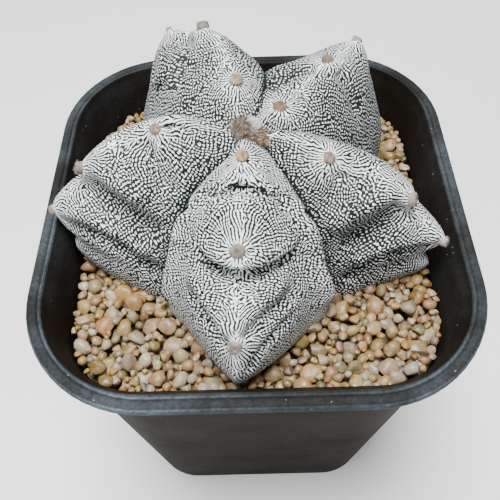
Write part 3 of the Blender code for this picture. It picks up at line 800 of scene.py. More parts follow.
RELIEFS = (
    # Front rib: the folds and lips of its lobes, then the facets of its face
    Relief(Rib.FRONT, -.35, 1.0, ((.290, -.96), (.258, -.74), (.226, -.56), (.186, -.35),
        (.168, -.03), (.186, .36), (.208, .57), (.254, .72), (.290, .94))),
    Relief(Rib.FRONT, -.35, .32, ((.180, -.36), (.170, -.22), (.166, -.03), (.168, .18),
        (.184, .40)), 0, .80),
    Relief(Rib.FRONT, .1, 1.8, ((.170, -.62), (.152, -.36), (.144, -.03), (.150, .36),
        (.170, .62)), 0, -.16),
    Relief(Rib.FRONT, -1.5, 1.8, ((.290, -1.0), (.262, -.84), (.240, -.66))),
    Relief(Rib.FRONT, -1.5, 1.8, ((.290, 1.0), (.266, .84), (.240, .66))),
    Relief(Rib.FRONT, .6, 1.6, ((.226, -.72), (.200, -.54), (.166, -.30), (.150, .05), (.166, .35),
        (.194, .54), (.226, .68)), .4),
    Relief(Rib.FRONT, -1.6, 1.5, ((.376, -.74), (.400, -.64), (.436, -.54), (.446, -.39),
        (.443, -.21), (.440, .10), (.443, .31), (.450, .48), (.434, .62), (.380, .78)), 0, .06),
    Relief(Rib.FRONT, 1.2, 2.0, ((.350, -.72), (.376, -.58), (.402, -.41), (.406, -.20),
        (.405, .10), (.405, .31), (.402, .48), (.384, .66), (.350, .80)), .9),
    Relief(Rib.FRONT, 2.0, 2.3, ((.20, -.85), (.32, -.87), (.45, -.87), (.60, -.87), (.80, -.88))),
    Relief(Rib.FRONT, 2.8, 2.3, ((.20, .85), (.32, .87), (.45, .87), (.60, .87), (.80, .88))),
    Relief(Rib.FRONT, -1.8, 2.2, ((.630, -.67), (.676, -.51), (.700, -.36), (.718, -.26),
        (.746, -.17))),
    Relief(Rib.FRONT, -1.8, 2.2, ((.598, .70), (.626, .53), (.640, .35), (.668, .21),
        (.704, .14))),
    Relief(Rib.FRONT, 1.0, 2.4, ((.534, -.70), (.562, -.57), (.612, -.41), (.658, -.24),
        (.694, -.14))),
    Relief(Rib.FRONT, .8, 2.4, ((.538, .63), (.558, .51), (.580, .33), (.622, .17), (.682, .05))),
    Relief(Rib.FRONT, -1.0, 1.1, ((.716, .60), (.736, .42), (.756, .29), (.784, .20),
        (.824, .13))),
    # Left rib
    Relief(Rib.LEFT, -1.1, .8, ((.250, .10), (.252, .35), (.262, .49), (.278, .65), (.280, .81))),
    Relief(Rib.LEFT, -1.1, 2.4, ((.248, .20), (.258, .53), (.270, .73), (.278, .88))),
    Relief(Rib.LEFT, -2.9, 3.2, ((.482, .14), (.488, .41), (.480, .54), (.466, .65), (.460, .79),
        (.460, .92)), 0, .10),
    Relief(Rib.LEFT, 1.4, 2.2, ((.440, .16), (.416, .39), (.404, .56), (.404, .71))),
    Relief(Rib.LEFT, 1.3, 2.6, ((.640, .12), (.610, .40), (.598, .59), (.598, .73), (.598, .86))),
    Relief(Rib.LEFT, -2.0, 1.9, ((.700, .10), (.644, .37), (.632, .47), (.626, .56), (.620, .71),
        (.634, .89), (.668, .97)), 0, .12),
    Relief(Rib.LEFT, 1.1, 2.6, ((.165, -.25), (.165, .10))),
    # Right rib
    Relief(Rib.RIGHT, -.7, .9, ((.274, -.31), (.288, -.54), (.310, -.72))),
    Relief(Rib.RIGHT, -.9, 2.4, ((.276, -.24), (.284, -.42), (.308, -.66), (.316, -.83))),
    Relief(Rib.RIGHT, -2.8, 3.1, ((.492, -.20), (.510, -.42), (.528, -.54), (.528, -.67),
        (.524, -.82)), 0, .10),
    Relief(Rib.RIGHT, 1.4, 2.2, ((.466, -.20), (.442, -.40), (.416, -.58), (.400, -.73),
        (.398, -.88))),
    Relief(Rib.RIGHT, 1.2, 2.6, ((.665, -.10), (.650, -.30), (.640, -.46), (.634, -.60),
        (.614, -.82))),
    Relief(Rib.RIGHT, -2.0, 1.8, ((.715, -.08), (.672, -.30), (.658, -.47), (.660, -.63),
        (.672, -.78), (.740, -.89)), 0, .12),
    # Ribs at the back
    Relief(Rib.FAR_LEFT, -2.6, 1.7, ((.470, .08), (.450, .20), (.400, .27), (.374, .38),
        (.374, .50), (.362, .63), (.338, .78)), 0, .04),
    Relief(Rib.FAR_LEFT, 2.4, 3.6, ((.500, .36), (.460, .50), (.440, .66))),
    Relief(Rib.FAR_LEFT, .8, 2.4, ((.330, -.10), (.278, -.15), (.234, -.18), (.196, -.22))),
    Relief(Rib.FAR_RIGHT, -2.2, 1.8, ((.198, .92), (.248, .78), (.284, .61), (.312, .44),
        (.340, .14)), 0, .12),
    Relief(Rib.FAR_RIGHT, -1.6, 2.2, ((.388, -.34), (.416, -.49), (.462, -.61), (.538, -.71))),
)


class FeltTone(Enum):
    """Colours of the areoles' felt."""

    TAN = (0.47, 0.29, 0.13)
    BEIGE = (0.25, 0.215, 0.175)
    PALE = (0.32, 0.29, 0.245)
    PINK = (0.34, 0.22, 0.18)
    ROSE = (0.30, 0.24, 0.20)
    YELLOW = (0.42, 0.33, 0.17)
    GREY = (0.19, 0.165, 0.145)
    RUST = (0.21, 0.085, 0.048)
    BROWN = (0.17, 0.12, 0.09)
    SAND = (0.32, 0.225, 0.15)


def curve(table: Sequence, level: np.ndarray) -> np.ndarray:
    """Read a table of control rows as a smooth curve.

    Args:
        table: Rows that start with their level.
        level: The levels to read at.

    Returns:
        The other columns at those levels.
    """
    rows = np.array(table, dtype=float)
    x, y = rows[:, 0], rows[:, 1:]
    step = np.diff(x)[:, None]
    slope = np.diff(y, axis=0) / step
    tangent = np.zeros_like(y)
    tangent[0], tangent[-1] = slope[0], slope[-1]
    tangent[1:-1] = (slope[:-1] * step[1:] + slope[1:] * step[:-1]) / (step[1:] + step[:-1])
    level = np.clip(level, x[0], x[-1])
    i = np.clip(np.searchsorted(x, level, side="right") - 1, 0, len(x) - 2)
    h = (x[i + 1] - x[i])[..., None]
    t = (level - x[i])[..., None] / h
    return (y[i] * (2 * t ** 3 - 3 * t ** 2 + 1) + tangent[i] * h * (t ** 3 - 2 * t ** 2 + t)
            + y[i + 1] * (3 * t ** 2 - 2 * t ** 3) + tangent[i + 1] * h * (t ** 3 - t ** 2))


def smoothed(table: Sequence, level: np.ndarray) -> np.ndarray:
    """The same curve with its folds averaged out."""
    total, weight = 0.0, 0.0
    for offset, share in SMOOTHING:
        total = total + curve(table, level + offset * np.minimum(1, level / .1)) * share
        weight += share
    return total / weight


def to_xyz(rows: np.ndarray) -> np.ndarray:
    """Turn azimuth, radius and height into a place."""
    a = np.radians(rows[..., 0])
    return np.stack([rows[..., 1] * np.cos(a), rows[..., 1] * np.sin(a), rows[..., 2]], -1)


def unit(vectors: np.ndarray) -> np.ndarray:
    """Scale vectors to a length of one."""
    return vectors / (np.linalg.norm(vectors, axis=-1, keepdims=True) + 1e-12)


def grid_normals(grid: np.ndarray) -> np.ndarray:
    """Outward normals of a grid of rows from crown to gravel."""
    return unit(np.cross(np.gradient(grid, axis=0), np.gradient(grid, axis=1)))


def nearest_on(line: np.ndarray, grid: np.ndarray) -> tuple[np.ndarray, np.ndarray]:
    """Find the nearest point of a line.

    Args:
        line: The line's corners.
        grid: Places.

    Returns:
        For each place, the distance to the line and how far along the line
        its nearest point lies, from 0 to 1.
    """
    nearest = np.full(grid.shape[:2], 1e9)
    along = np.zeros(grid.shape[:2])
    for k, (a, b) in enumerate(zip(line, line[1:])):
        part = np.clip(((grid - a) @ (b - a)) / ((b - a) @ (b - a) + 1e-9), 0, 1)
        away = np.linalg.norm(grid - a - part[..., None] * (b - a), axis=-1)
        closer = away < nearest
        nearest = np.where(closer, away, nearest)
        along = np.where(closer, (k + part) / (len(line) - 1), along)
    return nearest, along


@dataclass
class WavePackets:
    """Short waves at random places on the skin, whose sum makes rows of flecks."""

    pitch: float
    along: float
    across: float
    density: float = 3.6
    reach: float = 2.2
    most_rows: int = 16
    most_columns: int = 28
    key_step: int = 100
    at_once: int = 600000

    def lay(self, grid: np.ndarray, normal: np.ndarray, heading: np.ndarray,
            spread: np.ndarray, seed: int) -> tuple[np.ndarray, np.ndarray]:
        """Sum the waves over a grid.

        Args:
            grid: Rows and columns of places.
            normal: Outward normals there.
            heading: The way in which the rows of flecks run.
            spread: How far each wave may turn from that, in radians.
            seed: The seed of the random places.

        Returns:
            The real and imaginary parts of the sum.
        """
        chance = np.random.default_rng(seed)
        rows, columns = grid.shape[:2]
        down = np.gradient(grid, axis=0)
        over = np.gradient(grid, axis=1)
        area = np.linalg.norm(np.cross(down, over), axis=-1).ravel() + 1e-9
        step_r = np.linalg.norm(down, axis=-1).ravel()
        step_c = np.linalg.norm(over, axis=-1).ravel()
        count = int(area.sum() * self.density)
        spot = chance.choice(rows * columns, count, p=area / area.sum())
        turn = chance.normal(0, 1, count) * spread.ravel()[spot]
        n = normal.reshape(-1, 3)[spot]
        u = heading.reshape(-1, 3)[spot]
        w = np.cross(n, u)
        u, w = (u * np.cos(turn)[:, None] + w * np.sin(turn)[:, None],
                w * np.cos(turn)[:, None] - u * np.sin(turn)[:, None])
        shift = chance.uniform(0, 2 * math.pi, count)
        far = self.reach * max(self.along, self.across)
        span_r = np.clip(np.ceil(far / (step_r[spot] + 1e-6)), 2, self.most_rows).astype(int)
        span_c = np.clip(np.ceil(far / (step_c[spot] + 1e-6)), 2, self.most_columns).astype(int)
        span_c += span_c % 2
        real = np.zeros(rows * columns)
        imaginary = np.zeros(rows * columns)
        flat = grid.reshape(-1, 3)
        wave = math.pi / self.pitch
        keys = span_r * self.key_step + span_c
        for key in np.unique(keys):
            who = np.nonzero(keys == key)[0]
            sr, sc = divmod(int(key), self.key_step)
            dr, dc = np.mgrid[-sr:sr + 1, -sc:sc + 1].reshape(2, -1)
            for part in np.array_split(who, max(1, len(who) * len(dr) // self.at_once)):
                r = spot[part][:, None] // columns + dr
                c = spot[part][:, None] % columns + dc
                inside = (r >= 0) & (r < rows) & (c >= 0) & (c < columns)
                cell = np.clip(r, 0, rows - 1) * columns + np.clip(c, 0, columns - 1)
                away = flat[cell] - flat[spot[part]][:, None]
                x = np.einsum("ijk,ik->ij", away, u[part])
                y = np.einsum("ijk,ik->ij", away, w[part])
                size = np.exp(-.5 * ((x / self.along) ** 2 + (y / self.across) ** 2)) * inside
                phase = wave * y + shift[part][:, None]
                real += np.bincount(cell.ravel(), (size * np.cos(phase)).ravel(), len(real))
                imaginary += np.bincount(cell.ravel(), (size * np.sin(phase)).ravel(),
                                         len(real))
        scale = 1 / (np.sqrt((real ** 2 + imaginary ** 2).mean()) + 1e-9)
        return real.reshape(rows, columns) * scale, imaginary.reshape(rows, columns) * scale


@dataclass(frozen=True)
class FleckRule:
    """How the rows of flecks turn, break into beads and thin out over one rib, painted shade and
    light included.
    """

    # Painted shade: how much further the flecks thin on this rib's middle flanks.
    shade: float
    # Painted shade beside the grooves; below 0 it adds flecks as painted light.
    painted_shade_beside_groove: float
    at_front: bool = False
    calm: float = 8.5
    ring: float = 2.4
    spread: tuple = (.17, .15, .12, .20)
    beading: tuple = (.20, .90, .9)
    most_beading: float = 1.1
    plain_cover: float = .42
    ring_cover: float = .40
    ridge_cover: tuple = (.12, .16)
    flank_bare: float = .10
    # Painted light on the front rib's low tip.
    painted_tip_light: float = .22
    # Painted shade: how far the flecks thin along the grooves.
    painted_groove_shade: float = .45
    edge_cover: float = .05
    torn_cover: float = .06
    middle_at: tuple = (.08, .34)
    low_at: tuple = (.6, .2)
    tip_at: tuple = (.78, .12)
    edge_at: tuple = (.86, .10)
    ridge_width: float = .12
    groove_width: float = .045
    painted_shade_beside_width: float = .25

    def lay(self, level: np.ndarray, turn: np.ndarray, nearest: np.ndarray, torn: np.ndarray,
            painted_fold_shade: np.ndarray) -> tuple[np.ndarray, np.ndarray, np.ndarray]:
        """Work out the flecks' numbers over a rib.

        Args:
            level: From the crown, 0, to the gravel, 1.
            turn: From one groove, -1, over the ridge to the other, 1.
            nearest: The distance to the nearest areole.
            torn: How far the pulls of the areoles cancel out.
            painted_fold_shade: How far the folds thin the flecks, as painted shade.

        Returns:
            How far the rows turn from their heading, how much they break into
            beads and how much of the skin they cover, with painted shade and light in it.
        """
        flat = np.abs(turn)
        middle = eased((flat - self.middle_at[0]) / self.middle_at[1])
        low, tip = (np.clip((level - start) / span, 0, 1)
                    for start, span in (self.low_at, self.tip_at))
        far = 1 - hill(nearest, 0, self.calm)
        start, by_far, by_middle, by_tear = self.spread
        spread = start + by_far * far + by_middle * far * middle + by_tear * torn
        start, by_middle, by_tear = self.beading
        beading = np.minimum(start + by_middle * far * middle + by_tear * torn, self.most_beading)
        ridge, low_ridge = self.ridge_cover
        cover = self.plain_cover + self.ring_cover * hill(nearest, 0, self.ring)
        cover = cover + (ridge + low_ridge * low) * hill(flat, 0, self.ridge_width)
        # Middle flanks far from areoles carry fewer flecks; the rib's shade and the folds' share
        # of this are painted shade.
        cover = cover - (self.flank_bare + self.shade) * far * middle - painted_fold_shade
        # Painted light: more flecks on the front rib's downward-facing tip, which the lamps leave
        # in shade.
        cover = cover + self.painted_tip_light * tip * self.at_front
        # Painted shade: fewer flecks along the grooves and beside them.
        groove = hill(flat, 1, self.groove_width) * np.clip(level / .2, 0, 1)
        cover = (cover - self.painted_groove_shade * groove
                 - self.painted_shade_beside_groove * hill(flat, 1, self.painted_shade_beside_width)
                 + self.edge_cover * hill(flat, *self.edge_at))
        return spread, beading, cover + self.torn_cover * torn


@dataclass
class CactusPlant:
    """Five ribs of flecked skin that meet in a woolly crown."""

    axis: tuple = (-1.72, 0.47)
    rim: float = 111.5
    rows: int = 264
    columns: int = 108
    fold_reach: float = 0.75
    pillow_at: tuple = (.85, .12)
    tip_at: tuple = (.25, .2)
    tip_powers: tuple = (1.1, 1.8)
    low_at: tuple = (.5, .25)
    fall_shares: tuple = (.55, .45)
    crowding: float = .12
    fold_ends: float = .13
    pull_power: float = 2.6
    full_pull: float = 3
    pull_change: float = 5
    torn_below: float = .45
    # For each rib: painted shade on its middle flanks, then painted shade beside its grooves
    # (painted light where below 0).
    flecks: dict = field(default_factory=lambda: {
        "front": FleckRule(.01, -.04, True), "right": FleckRule(.16, .10),
        "far_right": FleckRule(.21, .07), "far_left": FleckRule(.20, .01),
        "left": FleckRule(.03, .10)})
    pulls: dict = field(default_factory=lambda: {
        "front": (.9, 1.0, 1.2), "right": (1.0, 1.0, 1.0), "far_right": (.6, .9, 1.2, 1.6),
        "far_left": (.35, 1.8, 1.5, .8), "left": (1.0, 1.0, 1.0)})
    stripes: WavePackets = field(default_factory=lambda: WavePackets(.64, 1.15, .66))
    beads: WavePackets = field(default_factory=lambda: WavePackets(.80, 1.0, .70))

    @property
    def origin(self) -> np.ndarray:
        """The plant's axis at the rim's height."""
        return np.array((*self.axis, self.rim))

    @staticmethod
    def sides(rib: Rib) -> list[tuple]:
        """The groove's table and the flank's numbers on each side of a rib."""
        ribs = list(Rib)
        before = ribs[ribs.index(rib) - 1]
        return list(zip((GROOVES[before.value], GROOVES[rib.value]), FLANKS[rib.value]))

    def flank(self, rib: Rib, groove: Sequence, shape: tuple, level: np.ndarray,
              turn: np.ndarray) -> np.ndarray:
        """Places on one flank of a rib.

        Args:
            rib: The rib.
            groove: The table of the groove on that side.
            shape: Bulge above and below, pillow, two falls, shoulder swell and
                how keen the lower half of the ridge is.
            level: From the crown, 0, to the gravel, 1.
            turn: From the ridge, 0, to the groove, 1.

        Returns:
            Places from the plant's axis at the rim's height.
        """
        ridge = RIDGES[rib.value]
        here = curve(ridge, level)
        base = smoothed(ridge, level)
        bent = np.clip(level + here[..., 4] * turn ** 2, 0, 1)
        relief = to_xyz(curve(ridge, bent)) - to_xyz(smoothed(ridge, bent))
        start, end = to_xyz(base), to_xyz(curve(groove, level))
        e = (base[..., 3] + here[..., 3]) / 2
        t = (np.sqrt(turn ** 2 + e ** 2) - e) / (np.sqrt(1 + e ** 2) - e)
        d = end - start
        length = np.hypot(d[..., 0], d[..., 1]) + 1e-9
        normal = np.stack([d[..., 1], -d[..., 0]], -1) / length[..., None]
        normal *= np.sign((normal * (start + end)[..., :2]).sum(-1))[..., None]
        above, below, pillow, power_a, power_b, swell, keen = shape
        tip = keen * eased((level - self.tip_at[0]) / self.tip_at[1])
        low = eased((level - self.low_at[0]) / self.low_at[1])
        bulge = (above + (below - above) * low) * length * np.sin(np.pi * turn) * (1 - .25 * turn)
        bulge = bulge + pillow * length * hill(turn, *self.pillow_at)
        fall = 0.0
        for power, tip_power, share in zip((power_a, power_b), self.tip_powers, self.fall_shares):
            fall = fall + share * t ** (power + (tip_power - power) * tip)
        fade = hill(turn, 0, self.fold_reach) * np.sqrt(1 - turn)
        point = start + relief * fade[..., None]
        point[..., :2] += d[..., :2] * t[..., None] + normal * bulge[..., None]
        point[..., 2] += d[..., 2] * fall
        point[..., 2] += (swell * length * np.sin(np.pi * turn) * (1 - turn) * (1 - low)
                          * (1 - tip))
        return point

    def skin(self, rib: Rib) -> tuple[np.ndarray, ...]:
        """Lay out one rib's skin.

        Args:
            rib: The rib.

        Returns:
            A grid of places in millimetres, each point's level and turn, where
            turn goes from -1 at one groove to 1 at the other, and its painted fold shade.
        """
        level = np.linspace(0.0, 1.0, self.rows + 1)[1:]
        even = np.linspace(0, 1, self.columns + 1)
        turn = even + self.crowding * np.sin(np.pi * even)
        s, t = np.meshgrid(level, turn, indexing="ij")
        one, two = (self.flank(rib, *side, s, t) for side in self.sides(rib))
        smooth, levels, turns = (
            np.concatenate([first[:, ::-1], second[:, 1:]], axis=1)
            for first, second in ((one, two), (s, s), (-t, t)))
        grid, painted_fold_shade = self.folded(rib, smooth + self.origin)
        return grid, levels, turns, painted_fold_shade

    def folded(self, rib: Rib, grid: np.ndarray) -> tuple[np.ndarray, np.ndarray]:
        """Press one rib's folds into its skin and raise its swellings.

        Args:
            rib: The rib.
            grid: The smooth skin.

        Returns:
            The skin with its relief, and how far its folds thin the flecks as painted shade.
        """
        normal = grid_normals(grid)
        below = np.array((0, 0, 25.0))
        if ((grid - grid.mean((0, 1)) + below) * normal).sum() < 0:
            normal = -normal
        downhill = unit(np.gradient(grid, axis=0))
        height, hang, painted_fold_shade = np.zeros((3, *grid.shape[:2]))
        for relief in (r for r in RELIEFS if r.rib is rib):
            nearest, along = nearest_on(self.relief_line(relief), grid)
            ends = eased(np.minimum(along, 1 - along) / self.fold_ends) * .9 + .1
            shape = ends * hill(nearest, 0, relief.width)
            height += relief.height * shape
            hang += relief.hang * shape
            painted_fold_shade += relief.painted_fold_shade * shape
        return grid + normal * height[..., None] + downhill * hang[..., None], painted_fold_shade

    def relief_line(self, relief: Relief) -> np.ndarray:
        """Lay a fold's path on the smooth skin, with four steps to each of its points."""
        path = np.array(relief.path)
        steps = np.linspace(0, len(path) - 1, 4 * (len(path) - 1) + 1)
        levels, turns = (np.interp(steps, np.arange(len(path)), path[:, k]) for k in (0, 1))
        sides = self.sides(relief.rib)
        places = [self.flank(relief.rib, *sides[int(turn > 0)], np.array([level]),
                             np.array([abs(turn)]))[0] for level, turn in zip(levels, turns)]
        return np.stack(places) + self.origin

    def areole_spots(self, rib: Rib) -> list[tuple[Vector, Vector]]:
        """Place and outward direction of each areole on a rib, in millimetres."""
        spots = []
        for row in RIDGES[rib.value]:
            if not row[6]:
                continue
            here, low, high = (to_xyz(curve(RIDGES[rib.value], np.array([row[0] + step])))[0]
                               for step in (0, -.03, .03))
            along = Vector(high - low).normalized()
            side = Vector((-math.sin(math.radians(row[1])), math.cos(math.radians(row[1])), 0))
            out = side.cross(along).normalized()
            if out.dot(Vector((here[0], here[1], 12.0))) < 0:
                out = -out
            spots.append((Vector(here) + Vector((*self.axis, self.rim)), out))
        return spots

    def field_lines(self, grid: np.ndarray, normal: np.ndarray, spots: list[Vector],
                    shares: Sequence[float]) -> tuple[np.ndarray, np.ndarray, np.ndarray]:
        """Directions that radiate from the areoles over the skin.

        Args:
            grid: Places.
            normal: Outward normals there.
            spots: The areoles' places.
            shares: How strongly each one bends the rows of flecks far from it.

        Returns:
            The unit directions, the distance to the nearest areole and how far
            the pulls of the areoles cancel out.
        """
        pull = np.zeros_like(grid)
        total = np.full(grid.shape[:2], 1e-9)
        nearest = np.full(grid.shape[:2], 1e9)
        for spot, share in zip(spots, shares):
            away = grid - np.array(spot)
            distance = np.linalg.norm(away, axis=-1)
            nearest = np.minimum(nearest, distance)
            beyond = (distance[..., None] - self.full_pull) / self.pull_change
            near = 1 + (share - 1) * np.clip(beyond, 0, 1)
            part = away * near / (distance[..., None] ** self.pull_power + 1.0)
            part -= normal * (part * normal).sum(-1, keepdims=True)
            pull += part
            total += np.linalg.norm(part, axis=-1)
        torn = np.clip(1 - np.linalg.norm(pull, axis=-1) / total / self.torn_below, 0, 1)
        return unit(pull), nearest, torn

    def build_rib(self, rib: Rib) -> bpy.types.Object:
        """Make one rib: its skin, closed to the plant's axis behind.

        Args:
            rib: The rib.

        Returns:
            The rib, with the numbers that its flecks are drawn from.
        """
        grid, level, turn, painted_fold_shade = self.skin(rib)
        rows, columns = grid.shape[:2]
        normal = grid_normals(grid)
        centre = np.array((*self.axis, grid[..., 2].mean()))
        if ((grid - centre) * normal).sum() < 0:
            normal = -normal
        spots = [spot for spot, _ in self.areole_spots(rib)]
        heading, nearest, torn = self.field_lines(grid, normal, spots, self.pulls[rib.value])
        spread, beading, cover = self.flecks[rib.value].lay(level, turn, nearest, torn, painted_fold_shade)
        seed = list(Rib).index(rib) * 7 + 3
        stripe = self.stripes.lay(grid, normal, heading, spread, seed)
        bead = self.beads.lay(grid, normal, np.cross(normal, heading), spread, seed + 50)
        back = np.zeros((rows, 3))
        back[:, :2] = self.axis
        back[:, 2] = (grid[:, 0, 2] + grid[:, -1, 2]) / 2
        points = np.concatenate([grid.reshape(-1, 3), back]) * MM
        obj = mesh_object("cactus_rib_" + rib.value, points, self.faces(rows, columns))
        pad = np.zeros(rows)
        for name, values in (("stripe_re", stripe[0]), ("stripe_im", stripe[1]),
                             ("bead_re", bead[0]), ("bead_im", bead[1]), ("cover", cover),
                             ("beading", beading)):
            store(obj, name, np.concatenate([values.ravel(), pad]))
        return obj

    @staticmethod
    def faces(rows: int, columns: int) -> list[np.ndarray]:
        """Faces of a skin grid and of the wedge that closes it behind."""
        number = np.arange(rows * columns).reshape(rows, columns)
        quads = np.stack([number[:-1, :-1], number[1:, :-1], number[1:, 1:], number[:-1, 1:]],
                         -1).reshape(-1, 4)
        back = rows * columns + np.arange(rows)
        first = np.stack([number[:-1, 0], back[:-1], back[1:], number[1:, 0]], -1)
        second = np.stack([number[:-1, -1], number[1:, -1], back[1:], back[:-1]], -1)
        top = np.stack([np.full(columns - 1, back[0]), number[0, :-1], number[0, 1:]], -1)
        end = np.stack([np.full(columns - 1, back[-1]), number[-1, 1:], number[-1, :-1]], -1)
        return [np.concatenate([quads, first, second]), np.concatenate([top, end])]

    def footprint(self, level: float) -> np.ndarray:
        """The plant's outline at a level, as x and y in millimetres."""
        index = min(self.rows - 1, int(level * self.rows))
        return np.concatenate([self.skin(rib)[0][index, :-1:6, :2] for rib in Rib])

    def dress_rib(self, obj: bpy.types.Object, skin: bpy.types.Material) -> None:
        """Give a rib its skin and its place in the frame."""
        obj.data.materials.append(skin)
        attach(obj, "root")
        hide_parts("cactus_body")


@dataclass
class HairMaker:
    """Lays many thin tapered hairs as one mesh."""

    seed: int
    chance: np.random.Generator = field(init=False)

    def __post_init__(self) -> None:
        """Seed the hairs."""
        self.chance = np.random.default_rng(self.seed)

    @staticmethod
    def points_each(joints: int) -> int:
        """The number of points of one hair."""
        return joints * 3 + 1

    def lay(self, roots: np.ndarray, ways: np.ndarray, lengths: np.ndarray, width: float,
            curl: float, joints: int) -> tuple[np.ndarray, np.ndarray, np.ndarray]:
        """Grow hairs.

        Args:
            roots: Where each hair starts.
            ways: Which way it starts.
            lengths: How long it is.
            width: Its radius at the root.
            curl: How far it wanders.
            joints: How many steps it has.

        Returns:
            Points, four-cornered faces and triangles.
        """
        count = len(roots)
        place, way = roots.copy(), unit(ways)
        drift = unit(self.chance.normal(0, 1, (count, 3)))
        rings = []
        for j in range(joints):
            side, other = turned_to(way)
            radius = width * (1 - j / joints) ** .6
            ring = [place + radius * (side * math.cos(a) + other * math.sin(a))
                    for a in (0, 2 * math.pi / 3, 4 * math.pi / 3)]
            rings.append(np.stack(ring, 1))
            way = unit(way + drift * curl + self.chance.normal(0, curl * .5, (count, 3)))
            place = place + way * (lengths / joints)[:, None]
        body = np.concatenate(rings + [place[:, None]], axis=1)
        size = self.points_each(joints)
        quads, tris = [], [(0, 2, 1)]
        for j in range(joints - 1):
            for k in range(3):
                m = (k + 1) % 3
                quads.append((j * 3 + k, j * 3 + m, j * 3 + 3 + m, j * 3 + 3 + k))
        for k in range(3):
            tris.append((size - 4 + k, size - 4 + (k + 1) % 3, size - 1))
        offset = (np.arange(count) * size)[:, None, None]
        return (body.reshape(-1, 3), (np.array(quads)[None] + offset).reshape(-1, 4),
                (np.array(tris)[None] + offset).reshape(-1, 3))


